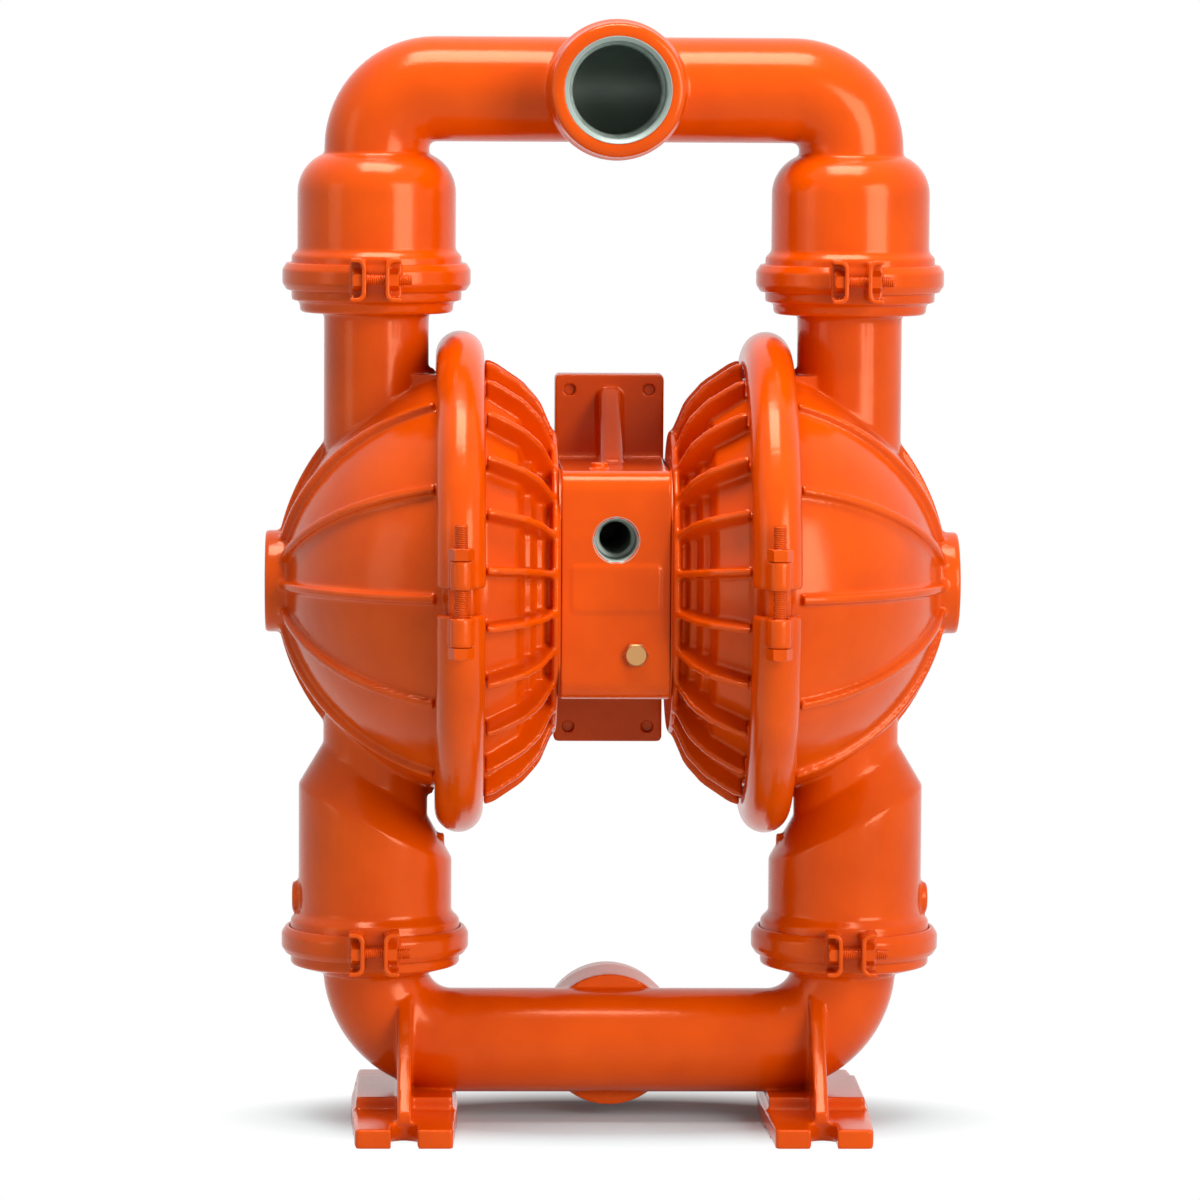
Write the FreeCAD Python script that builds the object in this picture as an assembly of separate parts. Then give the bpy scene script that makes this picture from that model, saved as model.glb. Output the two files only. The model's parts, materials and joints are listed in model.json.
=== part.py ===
import FreeCAD, Part
import math
import os

# An air operated diaphragm pump with clamped joints, in millimetres.
# X runs along the shaft, Y from the outlet port (front) to the inlet port (rear), Z is up.
# The origin is on the floor, midway between the feet and under the middle of the shaft.

V = FreeCAD.Vector
X_AXIS = V(1, 0, 0)
Y_AXIS = V(0, 1, 0)
Z_AXIS = V(0, 0, 1)

# Main layout
leg_x = 137.5                  # middle of the pump to the axis of each upright leg
inlet_pipe_z = 46.0            # floor to the axis of the lower pipe
inlet_joint_rise = 60.0        # lower pipe to the plane where the lower manifold meets the chambers
leg_space = 75.7               # that plane up to the rims of the large flanges
large_rim_r = 134.0            # those rims, which the chambers, clamps and pistons follow
riser_space = 43.4             # the rims up to the plane where the chambers meet the upper manifold
outlet_pipe_rise = 108.5       # that plane to the axis of the upper pipe
clamp_x = 89.0                 # plane where a liquid chamber meets its air chamber

# Heights above the floor that follow
inlet_joint_z = inlet_pipe_z + inlet_joint_rise
shaft_z = inlet_joint_z + leg_space + large_rim_r
outlet_joint_z = shaft_z + large_rim_r + riser_space
outlet_pipe_z = outlet_joint_z + outlet_pipe_rise

# Clearances
seat_clearance = 0.3           # between curved faces that seat on each other
running_clearance = 0.05       # radial, between a sliding piece and its bore
bolt_clearance = 0.3           # radial, around a bolt in its hole
joint_gap = 1.0                # between two clamped flanges

# Pipes
pipe_r = 30.4
pipe_bore_r = 25.5
inlet_elbow_r = 45.0
outlet_elbow_r = 34.0

# Pipe ports, 2 inch taper thread
outlet_face_y = 70.0           # reach of the front port from the middle of the pipe
inlet_face_y = 58.0            # reach of the rear port
port_boss_r = 38.3
port_collar_r = 40.6
port_collar_width = 28.0       # boss face back to the edge of the collar
port_thread_r = 28.6
port_thread_depth = 26.0
port_chamfer = 1.6
port_edge_radius = 3.5

# Ball housings
cage_bore_r = 39.0
bell_r = 45.9
bell_height = 72.5
bell_round_r = 24.0
leg_r = 44.7
leg_outer_shoulder = 91.5      # heights above the joint, on the side away from the clamp and next to it
leg_inner_shoulder = 47.5
neck_outer_height = 115.5
neck_inner_height = 72.5
cage_rib_width = 5.0
cage_rib_height = 62.0
drain_boss_r = 9.0
drain_boss_reach = 48.5
drain_boss_height = 24.5       # above the joint

# Small flanges and clamps
small_flange_r = 49.3
small_rim_r = 51.3
small_rim_half = 4.0
small_taper_half = 8.0
small_upper_height = 12.0
small_lower_height = 14.0
riser_lip_r = 44.5
riser_lip_height = 21.0
small_funnel = 5.0             # height of the cone from a flange down to its pipe
small_band_wall = 3.0
small_band_lip = 2.4
small_band_split = 11.0
small_lug_height = 25.0
small_lug_wall = 2.4
small_lug_depth = 9.0
small_lug_front = 71.0
small_lug_back = 49.0
small_lug_stay = 6.0
small_bolt_y = 63.0
small_bolt_r = 3.2
small_bolt_length = 42.0
small_nut_flats = 11.0
small_nut_height = 5.5

# Valve seats and balls
ball_r = 28.5
ball_lift = 12.0
seat_bore_r = 19.0
seat_below = 8.0
seat_above = 6.0
seat_cone_start = 7.0
seat_foot_wall = 4.0
seat_land = 8.0
oring_r = 1.9
oring_chamfer = 4.0

# Liquid chambers
dome_centre_x = 66.0
dome_inset = 8.0               # rims of the flanges in to the dome
dome_wall = 7.5
dome_rib_height = 4.5
dome_rib_count = 12
dome_rib_width = 5.0
end_boss_r = 29.6
end_boss_root = 14.0           # end of the dome in to the back of the boss
end_boss_reach = 9.6           # end of the dome out to the face of the boss
end_boss_dish_r = 19.0
end_boss_dish_depth = 2.0
riser_web_half_y = 23.0
riser_web_inset = 4.5          # top of the dome down to the top of the web beside the riser

# Large flanges and clamps
large_gap = 2.0
large_rim_width = 6.2
large_rim_height = 12.0        # root of the taper to the rim
large_root_width = 8.0
large_bore_inset = 4.5         # root in to the mouth of the chamber
band_centre_inset = 2.0        # rims in to the middle of the band's round back
band_round_r = 14.0
band_foot_inset = 9.5          # rims in to the feet of the band
band_split = 15.0
band_lug_root = 3.0
band_lug_r = 6.8
band_lug_height = 17.0
band_bolt_reach = 16.4         # rims out to the bolts
band_bolt_r = 4.0
band_bolt_tail = 20.0
band_nut_flats = 13.0
band_nut_height = 6.8

# Diaphragms
diaphragm_mid_x = 74.5
diaphragm_wall = 5.0
bead_inset = 8.0               # rims in to the middle of the bead
bead_half = 3.5
rim_sheet_half = 0.8
piston_inset = 64.0            # rims in to the edge of the inner piston
outer_piston_inset = 4.0       # edge of the inner piston in to that of the outer one
inner_piston_back_x = 62.0
inner_piston_hub_r = 26.0
inner_piston_web_r = 30.0
inner_piston_step = 4.5        # hub face to the back of the plate
inner_piston_bevel = 6.0
outer_piston_wall = 11.0
outer_piston_rim = 4.5
outer_piston_shoulder_r = 41.0
outer_piston_hub_r = 26.0
outer_piston_cap_r = 20.0
outer_piston_cap = 9.0
stud_space = 3.0
piston_stroke_half = 20.0
fold_rise = 6.0                # clamp plane to the inside of the diaphragm's fold
fold_half = 6.5                # half the width of the fold's crest

# Shaft and centre block
shaft_r = 11.0
shaft_stud_r = 8.0
bushing_r = 15.0
bushing_half = 22.0
seal_width = 3.5
block_half_x = 31.5
block_front_y = 75.0
block_rear_y = 60.0
block_rise = 69.0              # shaft axis to the top of the block
block_drop = 62.0              # shaft axis to its underside
block_edge_radius = 11.0
chamber_gasket_wall = 1.0
exhaust_rise = 30.0            # shaft axis up to the exhaust port
exhaust_thread_r = 12.4
exhaust_thread_depth = 22.0
exhaust_bore_r = 9.0
air_way_x = 16.0
air_way_y = 30.0
air_way_rise = 50.0            # shaft axis up to the air ways
air_way_r = 5.0
plate_wall = 10.0
plate_half_x = 32.2
plate_drop = 100.4             # shaft axis down to the lower edge of the mounting plate
plate_rise = 118.0             # shaft axis up to its upper edge
plate_corner_radius = 3.0
plate_hole_x = 23.6
plate_hole_inset = 9.0         # upper or lower edge of the plate to its holes
plate_hole_r = 3.3
gusset_half_x = 6.7
gusset_rise = 110.0            # shaft axis up to the crest of the gusset
gusset_crest = 5.0
gusset_front_y = 2.0
panel_wall = 0.8
panel_half_x = 25.0
panel_rise = 2.0               # shaft axis up to the middle of the panel
panel_half_z = 13.0
panel_corner_radius = 2.0
plug_x = 11.6
plug_drop = 35.5               # shaft axis down to the plug
plug_flats = 12.5
plug_head = 5.0
plug_crown = 0.6
plug_r = 5.0
plug_depth = 9.0
boss_x = -9.0
boss_r = 5.0
boss_height = 3.8
boss_inset = 30.0              # front of the block to the boss

# Pilot valve
pilot_drop = 26.0
pilot_land_r = 6.0
pilot_pin_r = 4.5
pilot_sleeve_r = 9.0
pilot_land_half = 5.0
pilot_land_inner_x = 7.0
pilot_land_outer_x = 20.0
pilot_port_r = 1.6
pilot_port_x = 12.0
pilot_half_travel = 6.0
pilot_touch_gap = 0.3

# Air chambers
air_hub_margin = 18.0          # edge of the inner piston out to the edge of the hub
air_wall_inner_x = 40.5
# Steps of the dish, its cavity and its rib crests: distance from the hub face, radius past the edge
# of the inner piston, rounding
air_dish_steps = ((4.0, air_hub_margin, 0.8), (4.5, 10.0, 0.5), (8.0, 10.0, 1.0), (9.5, 16.0, 1.0),
                  (13.5, 16.0, 1.0), (16.5, 25.0, 1.0), (20.5, 25.0, 1.0), (24.0, 36.0, 2.0))
air_cavity_steps = ((8.0, 3.5, 5.0), (15.0, 9.0, 3.0), (24.0, 26.0, 6.0))
air_rib_steps = ((0.5, 15.5, 0.0), (4.0, 22.5, 4.0), (9.5, 35.5, 18.0), (19.5, 47.0, 25.0),
                 (36.5, 58.5, 20.0))
air_rib_root = ((24.0, 28.0), (14.0, 10.0), (0.5, 6.0))
air_rim_inset = 13.0
air_mouth_inset = 2.5
air_rib_count = 24
air_rib_width = 4.0
shaft_passage_r = 12.0
pilot_passage_r = 5.5
chamber_screw_reach = 34.0
chamber_screw_r = 4.0
chamber_screw_head_r = 6.5
chamber_screw_head = 8.0
chamber_screw_length = 18.0
chamber_screw_socket = 6.0
chamber_screw_socket_depth = 4.0
screw_counterbore = 6.0

# Air valve
valve_gasket_wall = 1.0
valve_flange_wall = 10.0
valve_barrel_y = 107.0
valve_barrel_r = 27.0
valve_end_inset = 13.5         # edges of the mounting plate to the ends of the barrel
valve_saddle_half_x = 19.0
valve_saddle_inset = 8.0
valve_bore_r = 17.0
valve_cap_depth = 14.0
valve_cap_flange_r = 21.0
valve_cap_flange = 5.0
retainer_wall = 1.6
retainer_inner_r = 17.5
retainer_inset = 3.0           # end of the barrel to the retaining ring
retainer_groove = 1.5
retainer_gap = 8.0
spool_travel = 22.0
spool_waist = 5.0
air_port_face_y = 143.0
air_port_r = 21.0
air_port_root = 3.0
air_port_rise = 10.0           # shaft axis up to the air inlet
air_port_thread_depth = 18.0
valve_screw_head_r = 5.5
valve_screw_head = 5.5
valve_screw_socket = 5.0
valve_screw_socket_depth = 3.0
valve_screw_inset = 3.0

# Feet
foot_x = 120.0
foot_half_y = 106.0
foot_end_half_x = 28.0
foot_mid_half_x = 31.2
foot_mid_half_y = 12.0
foot_corner_radius = 2.0
foot_side_radius = 8.0
foot_wall = 11.0
foot_slot_r = 7.5
foot_slot_depth = 26.0
pedestal_half_x = 28.0
pedestal_half_y = 40.0
pedestal_top_z = 18.5
foot_web_half = 4.0
foot_web_top_z = 80.0
foot_web_top_y = 22.0
foot_web_shoulder = 8.0
foot_web_toe_y = 82.0
foot_web_toe = 5.0

# Sizes that follow from the ones above
large_root_r = large_rim_r - large_rim_height
large_bore_r = large_root_r - large_bore_inset
band_centre_r = large_rim_r - band_centre_inset
band_foot_r = large_rim_r - band_foot_inset
band_bolt_y = large_rim_r + band_bolt_reach
bead_r = large_rim_r - bead_inset
dome_r = large_rim_r - dome_inset
dome_rib_r = dome_r + dome_rib_height
end_boss_inner_x = dome_centre_x + dome_r - end_boss_root
end_boss_face_x = dome_centre_x + dome_r + end_boss_reach
riser_web_reach = dome_r - riser_web_inset
piston_r = large_rim_r - piston_inset
outer_piston_r = piston_r - outer_piston_inset
air_hub_r = piston_r + air_hub_margin
air_face_x = block_half_x + chamber_gasket_wall
block_top_z = shaft_z + block_rise
block_bottom_z = shaft_z - block_drop
exhaust_z = shaft_z + exhaust_rise
air_way_z = shaft_z + air_way_rise
air_port_z = shaft_z + air_port_rise
plate_top_z = shaft_z + plate_rise
plate_bottom_z = shaft_z - plate_drop
valve_top_z = plate_top_z - valve_end_inset
valve_bottom_z = plate_bottom_z + valve_end_inset
plate_rear_y = block_rear_y + plate_wall
valve_face_y = plate_rear_y + valve_gasket_wall
ball_rise = (ball_r + seat_clearance) * math.sqrt(2) - seat_bore_r - seat_cone_start


def rounded_face(corners, place):
    # Each corner is (u, v) or (u, v, rounding). A rounding is held to what its two sides allow.
    count = len(corners)
    points = [V(corner[0], corner[1], 0) for corner in corners]
    roundings = [corner[2] if len(corner) > 2 else 0 for corner in corners]
    bends = []
    for index in range(count):
        here = points[index]
        rounding = roundings[index]
        if rounding == 0:
            bends.append((here, here, here))
            continue
        back = points[index - 1] - here
        ahead = points[(index + 1) % count] - here
        back_share = rounding / (rounding + roundings[index - 1])
        ahead_share = rounding / (rounding + roundings[(index + 1) % count])
        room = 0.96 * min(back.Length * back_share, ahead.Length * ahead_share)
        half_angle = back.getAngle(ahead) / 2
        reach = min(rounding / math.tan(half_angle), room)
        back.normalize()
        ahead.normalize()
        inward = (back + ahead).normalize()
        radius = reach * math.tan(half_angle)
        middle = here + inward * (radius / math.sin(half_angle) - radius)
        bends.append((here + back * reach, middle, here + ahead * reach))
    edges = []
    for index in range(count):
        first, middle, last = bends[index]
        following = bends[(index + 1) % count][0]
        if first.distanceToPoint(last) > 1e-6:
            edges.append(Part.Arc(place(first), place(middle), place(last)).toShape())
        if last.distanceToPoint(following) > 1e-6:
            edges.append(Part.LineSegment(place(last), place(following)).toShape())
    return Part.Face(Part.Wire(edges))


def turned(corners, base, axis):
    # A turned form: corners are (distance along the axis, radius, rounding).
    side = X_AXIS if abs(axis.z) > 0.5 else Z_AXIS
    face = rounded_face(corners, lambda p: base + axis * p.x + side * p.y)
    return face.revolve(base, axis, 360)


def rod(radius, start, axis, length):
    return Part.makeCylinder(radius, length, start, axis)


def block(low, high):
    return Part.makeBox(high[0] - low[0], high[1] - low[1], high[2] - low[2], V(*low))


def prism(corners, place, thickness):
    # A flat outline with rounded corners, pushed out along a vector.
    return rounded_face(corners, place).extrude(thickness)


def ring(outer_r, inner_r, start, axis, length):
    return rod(outer_r, start, axis, length).cut(rod(inner_r, start, axis, length))


def hexagon(across_flats, start, axis, height):
    side = X_AXIS if abs(axis.x) < 0.5 else Z_AXIS
    other = axis.cross(side)
    reach = across_flats / math.sqrt(3)
    angles = [math.radians(60 * step) for step in range(6)]
    points = [start + side * (reach * math.cos(a)) + other * (reach * math.sin(a)) for a in angles]
    return Part.Face(Part.makePolygon(points + points[:1])).extrude(axis * height)


def joined(shapes):
    return shapes[0].multiFuse(shapes[1:]).removeSplitter()


def group(shapes):
    return Part.makeCompound(shapes)


def mirrored(shape):
    return shape.mirror(V(0, 0, 0), X_AXIS)


def both_sides(shape):
    return [shape, mirrored(shape)]


def turned_about_shaft(shape, angle):
    copy = shape.copy()
    copy.rotate(V(0, 0, shaft_z), X_AXIS, angle)
    return copy


# Flanges of the small joints

def upper_flange(joint_z, x, bore_r, wall_r):
    base = V(x, 0, joint_z)
    start = joint_gap / 2
    corners = [
        (start, bore_r),
        (start, small_rim_r, 0.6),
        (small_rim_half, small_rim_r, 0.6),
        (small_taper_half, small_flange_r),
        (small_upper_height, small_flange_r, 1.2),
        (small_upper_height + small_flange_r - wall_r, wall_r),
        (small_upper_height + small_flange_r - wall_r, bore_r),
    ]
    return turned(corners, base, Z_AXIS)


def lower_flange(joint_z, x, bore_r, lip_r, lip_height, wall_r):
    base = V(x, 0, joint_z)
    start = joint_gap / 2
    corners = [
        (start, bore_r),
        (start, small_rim_r, 0.6),
        (small_rim_half, small_rim_r, 0.6),
        (small_taper_half, small_flange_r),
        (small_lower_height, small_flange_r, 1.2),
        (small_lower_height, lip_r),
        (lip_height, lip_r, 2.5),
        (lip_height, wall_r, 2.5),
        (lip_height + 4, wall_r),
        (lip_height + 4, bore_r),
    ]
    return turned(corners, base, -Z_AXIS)


def oring_cut(joint_z, x, direction):
    # Bevel at the mouth of a ball housing that makes room for the sealing ring.
    start = joint_gap / 2
    corners = [
        (start, 0),
        (start, cage_bore_r + oring_chamfer),
        (start + oring_chamfer, cage_bore_r),
        (start + oring_chamfer, 0),
    ]
    return turned(corners, V(x, 0, joint_z), direction)


def ball_centre_z(joint_z):
    return joint_z + ball_rise


def cage_ribs(joint_z, x):
    # Four ribs that guide the ball and meet above it as its stop.
    low = joint_z + seat_above + 1.0
    high = joint_z + cage_rib_height
    half = cage_rib_width / 2
    reach = cage_bore_r + 1.5
    along_x = block((x - reach, -half, low), (x + reach, half, high))
    along_y = block((x - half, -reach, low), (x + half, reach, high))
    top = V(x, 0, ball_centre_z(joint_z) + ball_lift + 1.0)
    guide_r = ball_r + 1.2
    way = rod(guide_r, V(x, 0, low - 1), Z_AXIS, top.z - low + 1)
    room = Part.makeSphere(guide_r, top)
    limit = rod(reach, V(x, 0, low), Z_AXIS, high - low)
    return joined([along_x, along_y]).cut(way).cut(room).common(limit)


# Manifolds

def manifold_pipe(radius, pipe_z, elbow_r, leg_end_z):
    # The pipe runs across, turns through an elbow at each end and stands up or down to the leg.
    turn_x = leg_x - elbow_r
    upward = leg_end_z > pipe_z
    direction = Z_AXIS if upward else -Z_AXIS
    centre = V(turn_x, 0, pipe_z + direction.z * elbow_r)
    section = Part.Face(Part.Wire(Part.makeCircle(radius, V(turn_x, 0, pipe_z), X_AXIS)))
    elbow = section.revolve(centre, Y_AXIS * (-direction.z), 90)
    across = rod(radius, V(-turn_x, 0, pipe_z), X_AXIS, 2 * turn_x)
    leg_start = V(leg_x, 0, centre.z)
    leg = rod(radius, leg_start, direction, abs(leg_end_z - centre.z))
    return joined([across] + both_sides(elbow) + both_sides(leg))


def pipe_port(pipe_z, face_y, direction):
    # Collar and threaded boss that stand out from the middle of a pipe.
    collar_end = face_y - port_collar_width
    corners = [
        (0, 0),
        (0, port_collar_r - 2),
        (collar_end, port_collar_r, 3),
        (collar_end + 5, port_boss_r + 0.6, 3),
        (face_y, port_boss_r, port_edge_radius),
        (face_y, 0),
    ]
    return turned(corners, V(0, 0, pipe_z), direction)


def port_way(pipe_z, face_y, direction):
    start = face_y - port_thread_depth
    corners = [
        (0, 0),
        (0, pipe_bore_r),
        (start, pipe_bore_r),
        (start, port_thread_r),
        (face_y - port_chamfer, port_thread_r),
        (face_y, port_thread_r + port_chamfer),
        (face_y + 1, port_thread_r + port_chamfer),
        (face_y + 1, 0),
    ]
    return turned(corners, V(0, 0, pipe_z), direction)


def discharge_manifold():
    inner_end_z = outlet_joint_z + bell_height - bell_round_r
    outside = manifold_pipe(pipe_r, outlet_pipe_z, outlet_elbow_r, inner_end_z)
    inside = manifold_pipe(pipe_bore_r, outlet_pipe_z, outlet_elbow_r, inner_end_z)
    bell_wall = bell_r - cage_bore_r
    bell_start = small_upper_height + small_flange_r - bell_r
    bell = [
        (bell_start, 0),
        (bell_start, bell_r),
        (bell_height, bell_r, bell_round_r),
        (bell_height, 0),
    ]
    hollow = [
        (joint_gap / 2, 0),
        (joint_gap / 2, cage_bore_r),
        (bell_height - bell_wall, cage_bore_r, bell_round_r - bell_wall / 2),
        (bell_height - bell_wall, 0),
    ]
    base = V(leg_x, 0, outlet_joint_z)
    flange = upper_flange(outlet_joint_z, leg_x, cage_bore_r - 1, bell_r)
    shell = joined([outside, pipe_port(outlet_pipe_z, outlet_face_y, -Y_AXIS)]
                   + both_sides(turned(bell, base, Z_AXIS)) + both_sides(flange))
    cuts = [inside, port_way(outlet_pipe_z, outlet_face_y, -Y_AXIS)]
    cuts += both_sides(turned(hollow, base, Z_AXIS))
    cuts += both_sides(oring_cut(outlet_joint_z, leg_x, Z_AXIS))
    shell = shell.cut(cuts)
    return joined([shell] + both_sides(cage_ribs(outlet_joint_z, leg_x)))


def foot():
    half_y = foot_half_y
    corner = foot_corner_radius
    side = foot_side_radius
    outline = [
        (-foot_end_half_x, -half_y, corner),
        (foot_end_half_x, -half_y, corner),
        (foot_mid_half_x, -foot_mid_half_y, side),
        (foot_mid_half_x, foot_mid_half_y, side),
        (foot_end_half_x, half_y, corner),
        (-foot_end_half_x, half_y, corner),
        (-foot_mid_half_x, foot_mid_half_y, side),
        (-foot_mid_half_x, -foot_mid_half_y, side),
    ]
    plate = prism(outline, lambda p: V(foot_x + p.x, p.y, 0), Z_AXIS * foot_wall)
    for end in (-1, 1):
        slot_y = end * (half_y - foot_slot_depth + foot_slot_r)
        slot = rod(foot_slot_r, V(foot_x, slot_y, -1), Z_AXIS, foot_wall + 2)
        mouth_low = min(slot_y, end * (half_y + 1))
        mouth_high = max(slot_y, end * (half_y + 1))
        mouth = block((foot_x - foot_slot_r, mouth_low, -1),
                      (foot_x + foot_slot_r, mouth_high, foot_wall + 1))
        plate = plate.cut([slot, mouth])
    pedestal = block((foot_x - pedestal_half_x, -pedestal_half_y, 0),
                     (foot_x + pedestal_half_x, pedestal_half_y, pedestal_top_z))
    shoulder_y = foot_web_top_y + foot_web_shoulder
    shoulder_z = foot_web_top_z - foot_web_shoulder
    web_outline = [
        (-foot_web_toe_y, foot_wall - 1),
        (foot_web_toe_y, foot_wall - 1),
        (foot_web_toe_y, foot_wall + foot_web_toe, corner),
        (shoulder_y, shoulder_z, side),
        (foot_web_top_y, foot_web_top_z),
        (-foot_web_top_y, foot_web_top_z),
        (-shoulder_y, shoulder_z, side),
        (-foot_web_toe_y, foot_wall + foot_web_toe, corner),
    ]
    web = prism(web_outline, lambda p: V(foot_x - foot_web_half, p.x, p.y), X_AXIS * (2 * foot_web_half))
    return joined([plate, pedestal, web])


def inlet_manifold():
    neck_z = inlet_pipe_z + inlet_elbow_r
    leg_end_z = inlet_joint_z - seat_below
    outside = manifold_pipe(pipe_r, inlet_pipe_z, inlet_elbow_r, leg_end_z)
    inside = manifold_pipe(pipe_bore_r, inlet_pipe_z, inlet_elbow_r, leg_end_z)
    flange_corners = [
        (joint_gap / 2, 0),
        (joint_gap / 2, small_rim_r, 0.6),
        (small_rim_half, small_rim_r, 0.6),
        (small_taper_half, small_flange_r),
        (small_lower_height, small_flange_r, 1.2),
        (small_lower_height + small_funnel, pipe_r + 1.5),
        (small_lower_height + small_funnel, 0),
    ]
    pocket = [
        (joint_gap / 2, 0),
        (joint_gap / 2, cage_bore_r),
        (seat_below, cage_bore_r),
        (seat_below, cage_bore_r - seat_land),
        (inlet_joint_z - neck_z, pipe_bore_r),
        (inlet_joint_z - neck_z, 0),
    ]
    base = V(leg_x, 0, inlet_joint_z)
    parts = [outside, pipe_port(inlet_pipe_z, inlet_face_y, Y_AXIS)]
    parts += both_sides(turned(flange_corners, base, -Z_AXIS)) + both_sides(foot())
    cuts = [inside, port_way(inlet_pipe_z, inlet_face_y, Y_AXIS)]
    cuts += both_sides(turned(pocket, base, -Z_AXIS))
    cuts += both_sides(oring_cut(inlet_joint_z, leg_x, -Z_AXIS))
    return joined(parts).cut(cuts)


# Liquid chambers

def slanted_ring(radius, inner_z, outer_z):
    # The oblique section of an upright round leg, lower on the side next to the clamp.
    slope = (outer_z - inner_z) / (2 * radius)
    tilt = math.atan(slope)
    centre = V(leg_x, 0, (inner_z + outer_z) / 2)
    long_axis = V(math.cos(tilt), 0, math.sin(tilt))
    normal = V(-math.sin(tilt), 0, math.cos(tilt))
    if tilt == 0:
        return Part.Wire(Part.makeCircle(radius, centre, Z_AXIS))
    ellipse = Part.Ellipse(centre + long_axis * (radius / math.cos(tilt)),
                           centre + normal.cross(long_axis) * radius, centre)
    return Part.Wire(ellipse.toShape())


def leg_form(radius, neck_r, bottom_z, top_z, shrink):
    shoulder_base = inlet_joint_z - shrink
    sections = [
        slanted_ring(radius, bottom_z, bottom_z),
        slanted_ring(radius, shoulder_base + leg_inner_shoulder, shoulder_base + leg_outer_shoulder),
        slanted_ring(neck_r, shoulder_base + neck_inner_height, shoulder_base + neck_outer_height),
        slanted_ring(neck_r, top_z, top_z),
    ]
    return Part.makeLoft(sections, True, True)


def large_flange(direction):
    # Flange of one chamber, seen from the clamp plane outwards.
    corners = [
        (large_gap / 2, large_bore_r),
        (large_gap / 2, large_rim_r, 0.8),
        (large_gap / 2 + large_rim_width, large_rim_r, 0.8),
        (large_gap / 2 + large_root_width, large_root_r),
        (large_gap / 2 + large_root_width + 5, large_root_r - 5),
        (large_gap / 2 + large_root_width + 5, large_bore_r - 2),
        (large_gap / 2 + large_root_width, large_bore_r),
    ]
    return turned(corners, V(clamp_x, 0, shaft_z), direction)


def bead_groove():
    return Part.makeTorus(bead_r, bead_half + seat_clearance, V(clamp_x, 0, shaft_z), X_AXIS)


def dome_rib(angle):
    outer = dome_rib_r
    inner = dome_r - 3
    start = clamp_x + band_round_r + 0.8 - dome_centre_x
    finish_r = end_boss_r - 6
    start_angle = math.acos(start / outer)
    inner_start_angle = math.acos(start / inner)
    finish_angle = math.asin(finish_r / outer)
    inner_finish_angle = math.asin(finish_r / inner)

    def spot(radius, turn):
        return V(dome_centre_x + radius * math.cos(turn), 0, shaft_z + radius * math.sin(turn))

    middle = (start_angle + finish_angle) / 2
    edges = [
        Part.Arc(spot(outer, start_angle), spot(outer, middle), spot(outer, finish_angle)).toShape(),
        Part.LineSegment(spot(outer, finish_angle), spot(inner, inner_finish_angle)).toShape(),
        Part.Arc(spot(inner, inner_finish_angle), spot(inner, middle),
                 spot(inner, inner_start_angle)).toShape(),
        Part.LineSegment(spot(inner, inner_start_angle), spot(outer, start_angle)).toShape(),
    ]
    face = Part.Face(Part.Wire(edges))
    face.translate(V(0, -dome_rib_width / 2, 0))
    return turned_about_shaft(face.extrude(Y_AXIS * dome_rib_width), angle)


def dome_solid(radius, start_x):
    sphere = Part.makeSphere(radius, V(dome_centre_x, 0, shaft_z))
    keep = block((start_x, -radius, shaft_z - radius), (end_boss_face_x, radius, shaft_z + radius))
    return sphere.common(keep)


def liquid_chamber():
    flange_x = clamp_x + large_gap / 2 + large_root_width
    dome = dome_solid(dome_r, flange_x)
    angle_step = 360 / dome_rib_count
    ribs = [dome_rib(90 + angle_step * index) for index in range(dome_rib_count)]
    boss = turned([
        (end_boss_inner_x, 0),
        (end_boss_inner_x, end_boss_r),
        (end_boss_face_x, end_boss_r, 1.5),
        (end_boss_face_x, end_boss_dish_r),
        (end_boss_face_x - end_boss_dish_depth, end_boss_dish_r - 1),
        (end_boss_face_x - end_boss_dish_depth, 0),
    ], V(0, 0, shaft_z), X_AXIS)
    riser_top = outlet_joint_z - riser_lip_height
    riser = rod(pipe_r, V(leg_x, 0, shaft_z), Z_AXIS, riser_top - shaft_z)
    web = block((flange_x - 1, -riser_web_half_y, shaft_z + dome_r / 2),
                (leg_x, riser_web_half_y, shaft_z + riser_web_reach))
    top_flange = lower_flange(outlet_joint_z, leg_x, pipe_bore_r - 2, riser_lip_r,
                              riser_lip_height, pipe_r)
    leg = leg_form(leg_r, pipe_r, inlet_joint_z + small_upper_height, shaft_z - dome_r / 2, 0)
    bottom_flange = upper_flange(inlet_joint_z, leg_x, cage_bore_r - 1, leg_r)
    drain = turned([
        (leg_r - 6, 0),
        (leg_r - 6, drain_boss_r),
        (drain_boss_reach, drain_boss_r, 1.5),
        (drain_boss_reach, 0),
    ], V(leg_x, 0, inlet_joint_z + drain_boss_height), X_AXIS)
    shell = joined([dome, large_flange(X_AXIS), boss, riser, web, top_flange, leg, bottom_flange, drain]
                   + ribs)

    cavity = dome_solid(dome_r - dome_wall, flange_x - 2)
    mouth = rod(large_bore_r, V(clamp_x, 0, shaft_z), X_AXIS, large_gap / 2 + large_root_width)
    riser_bore = rod(pipe_bore_r, V(leg_x, 0, shaft_z), Z_AXIS, outlet_joint_z - shaft_z)
    pocket = rod(cage_bore_r, V(leg_x, 0, outlet_joint_z - seat_below), Z_AXIS, seat_below)
    shrink = dome_wall - 2
    leg_bore = leg_form(cage_bore_r, pipe_bore_r, inlet_joint_z, shaft_z - dome_r / 2, shrink)
    cuts = [cavity, mouth, riser_bore, pocket, leg_bore, bead_groove(),
            oring_cut(outlet_joint_z, leg_x, -Z_AXIS), oring_cut(inlet_joint_z, leg_x, Z_AXIS)]
    return joined([shell.cut(cuts), cage_ribs(inlet_joint_z, leg_x)])


# Air chambers

def air_profile(steps):
    return [(air_face_x + along, piston_r + beyond, rounding) for along, beyond, rounding in steps]


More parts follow.
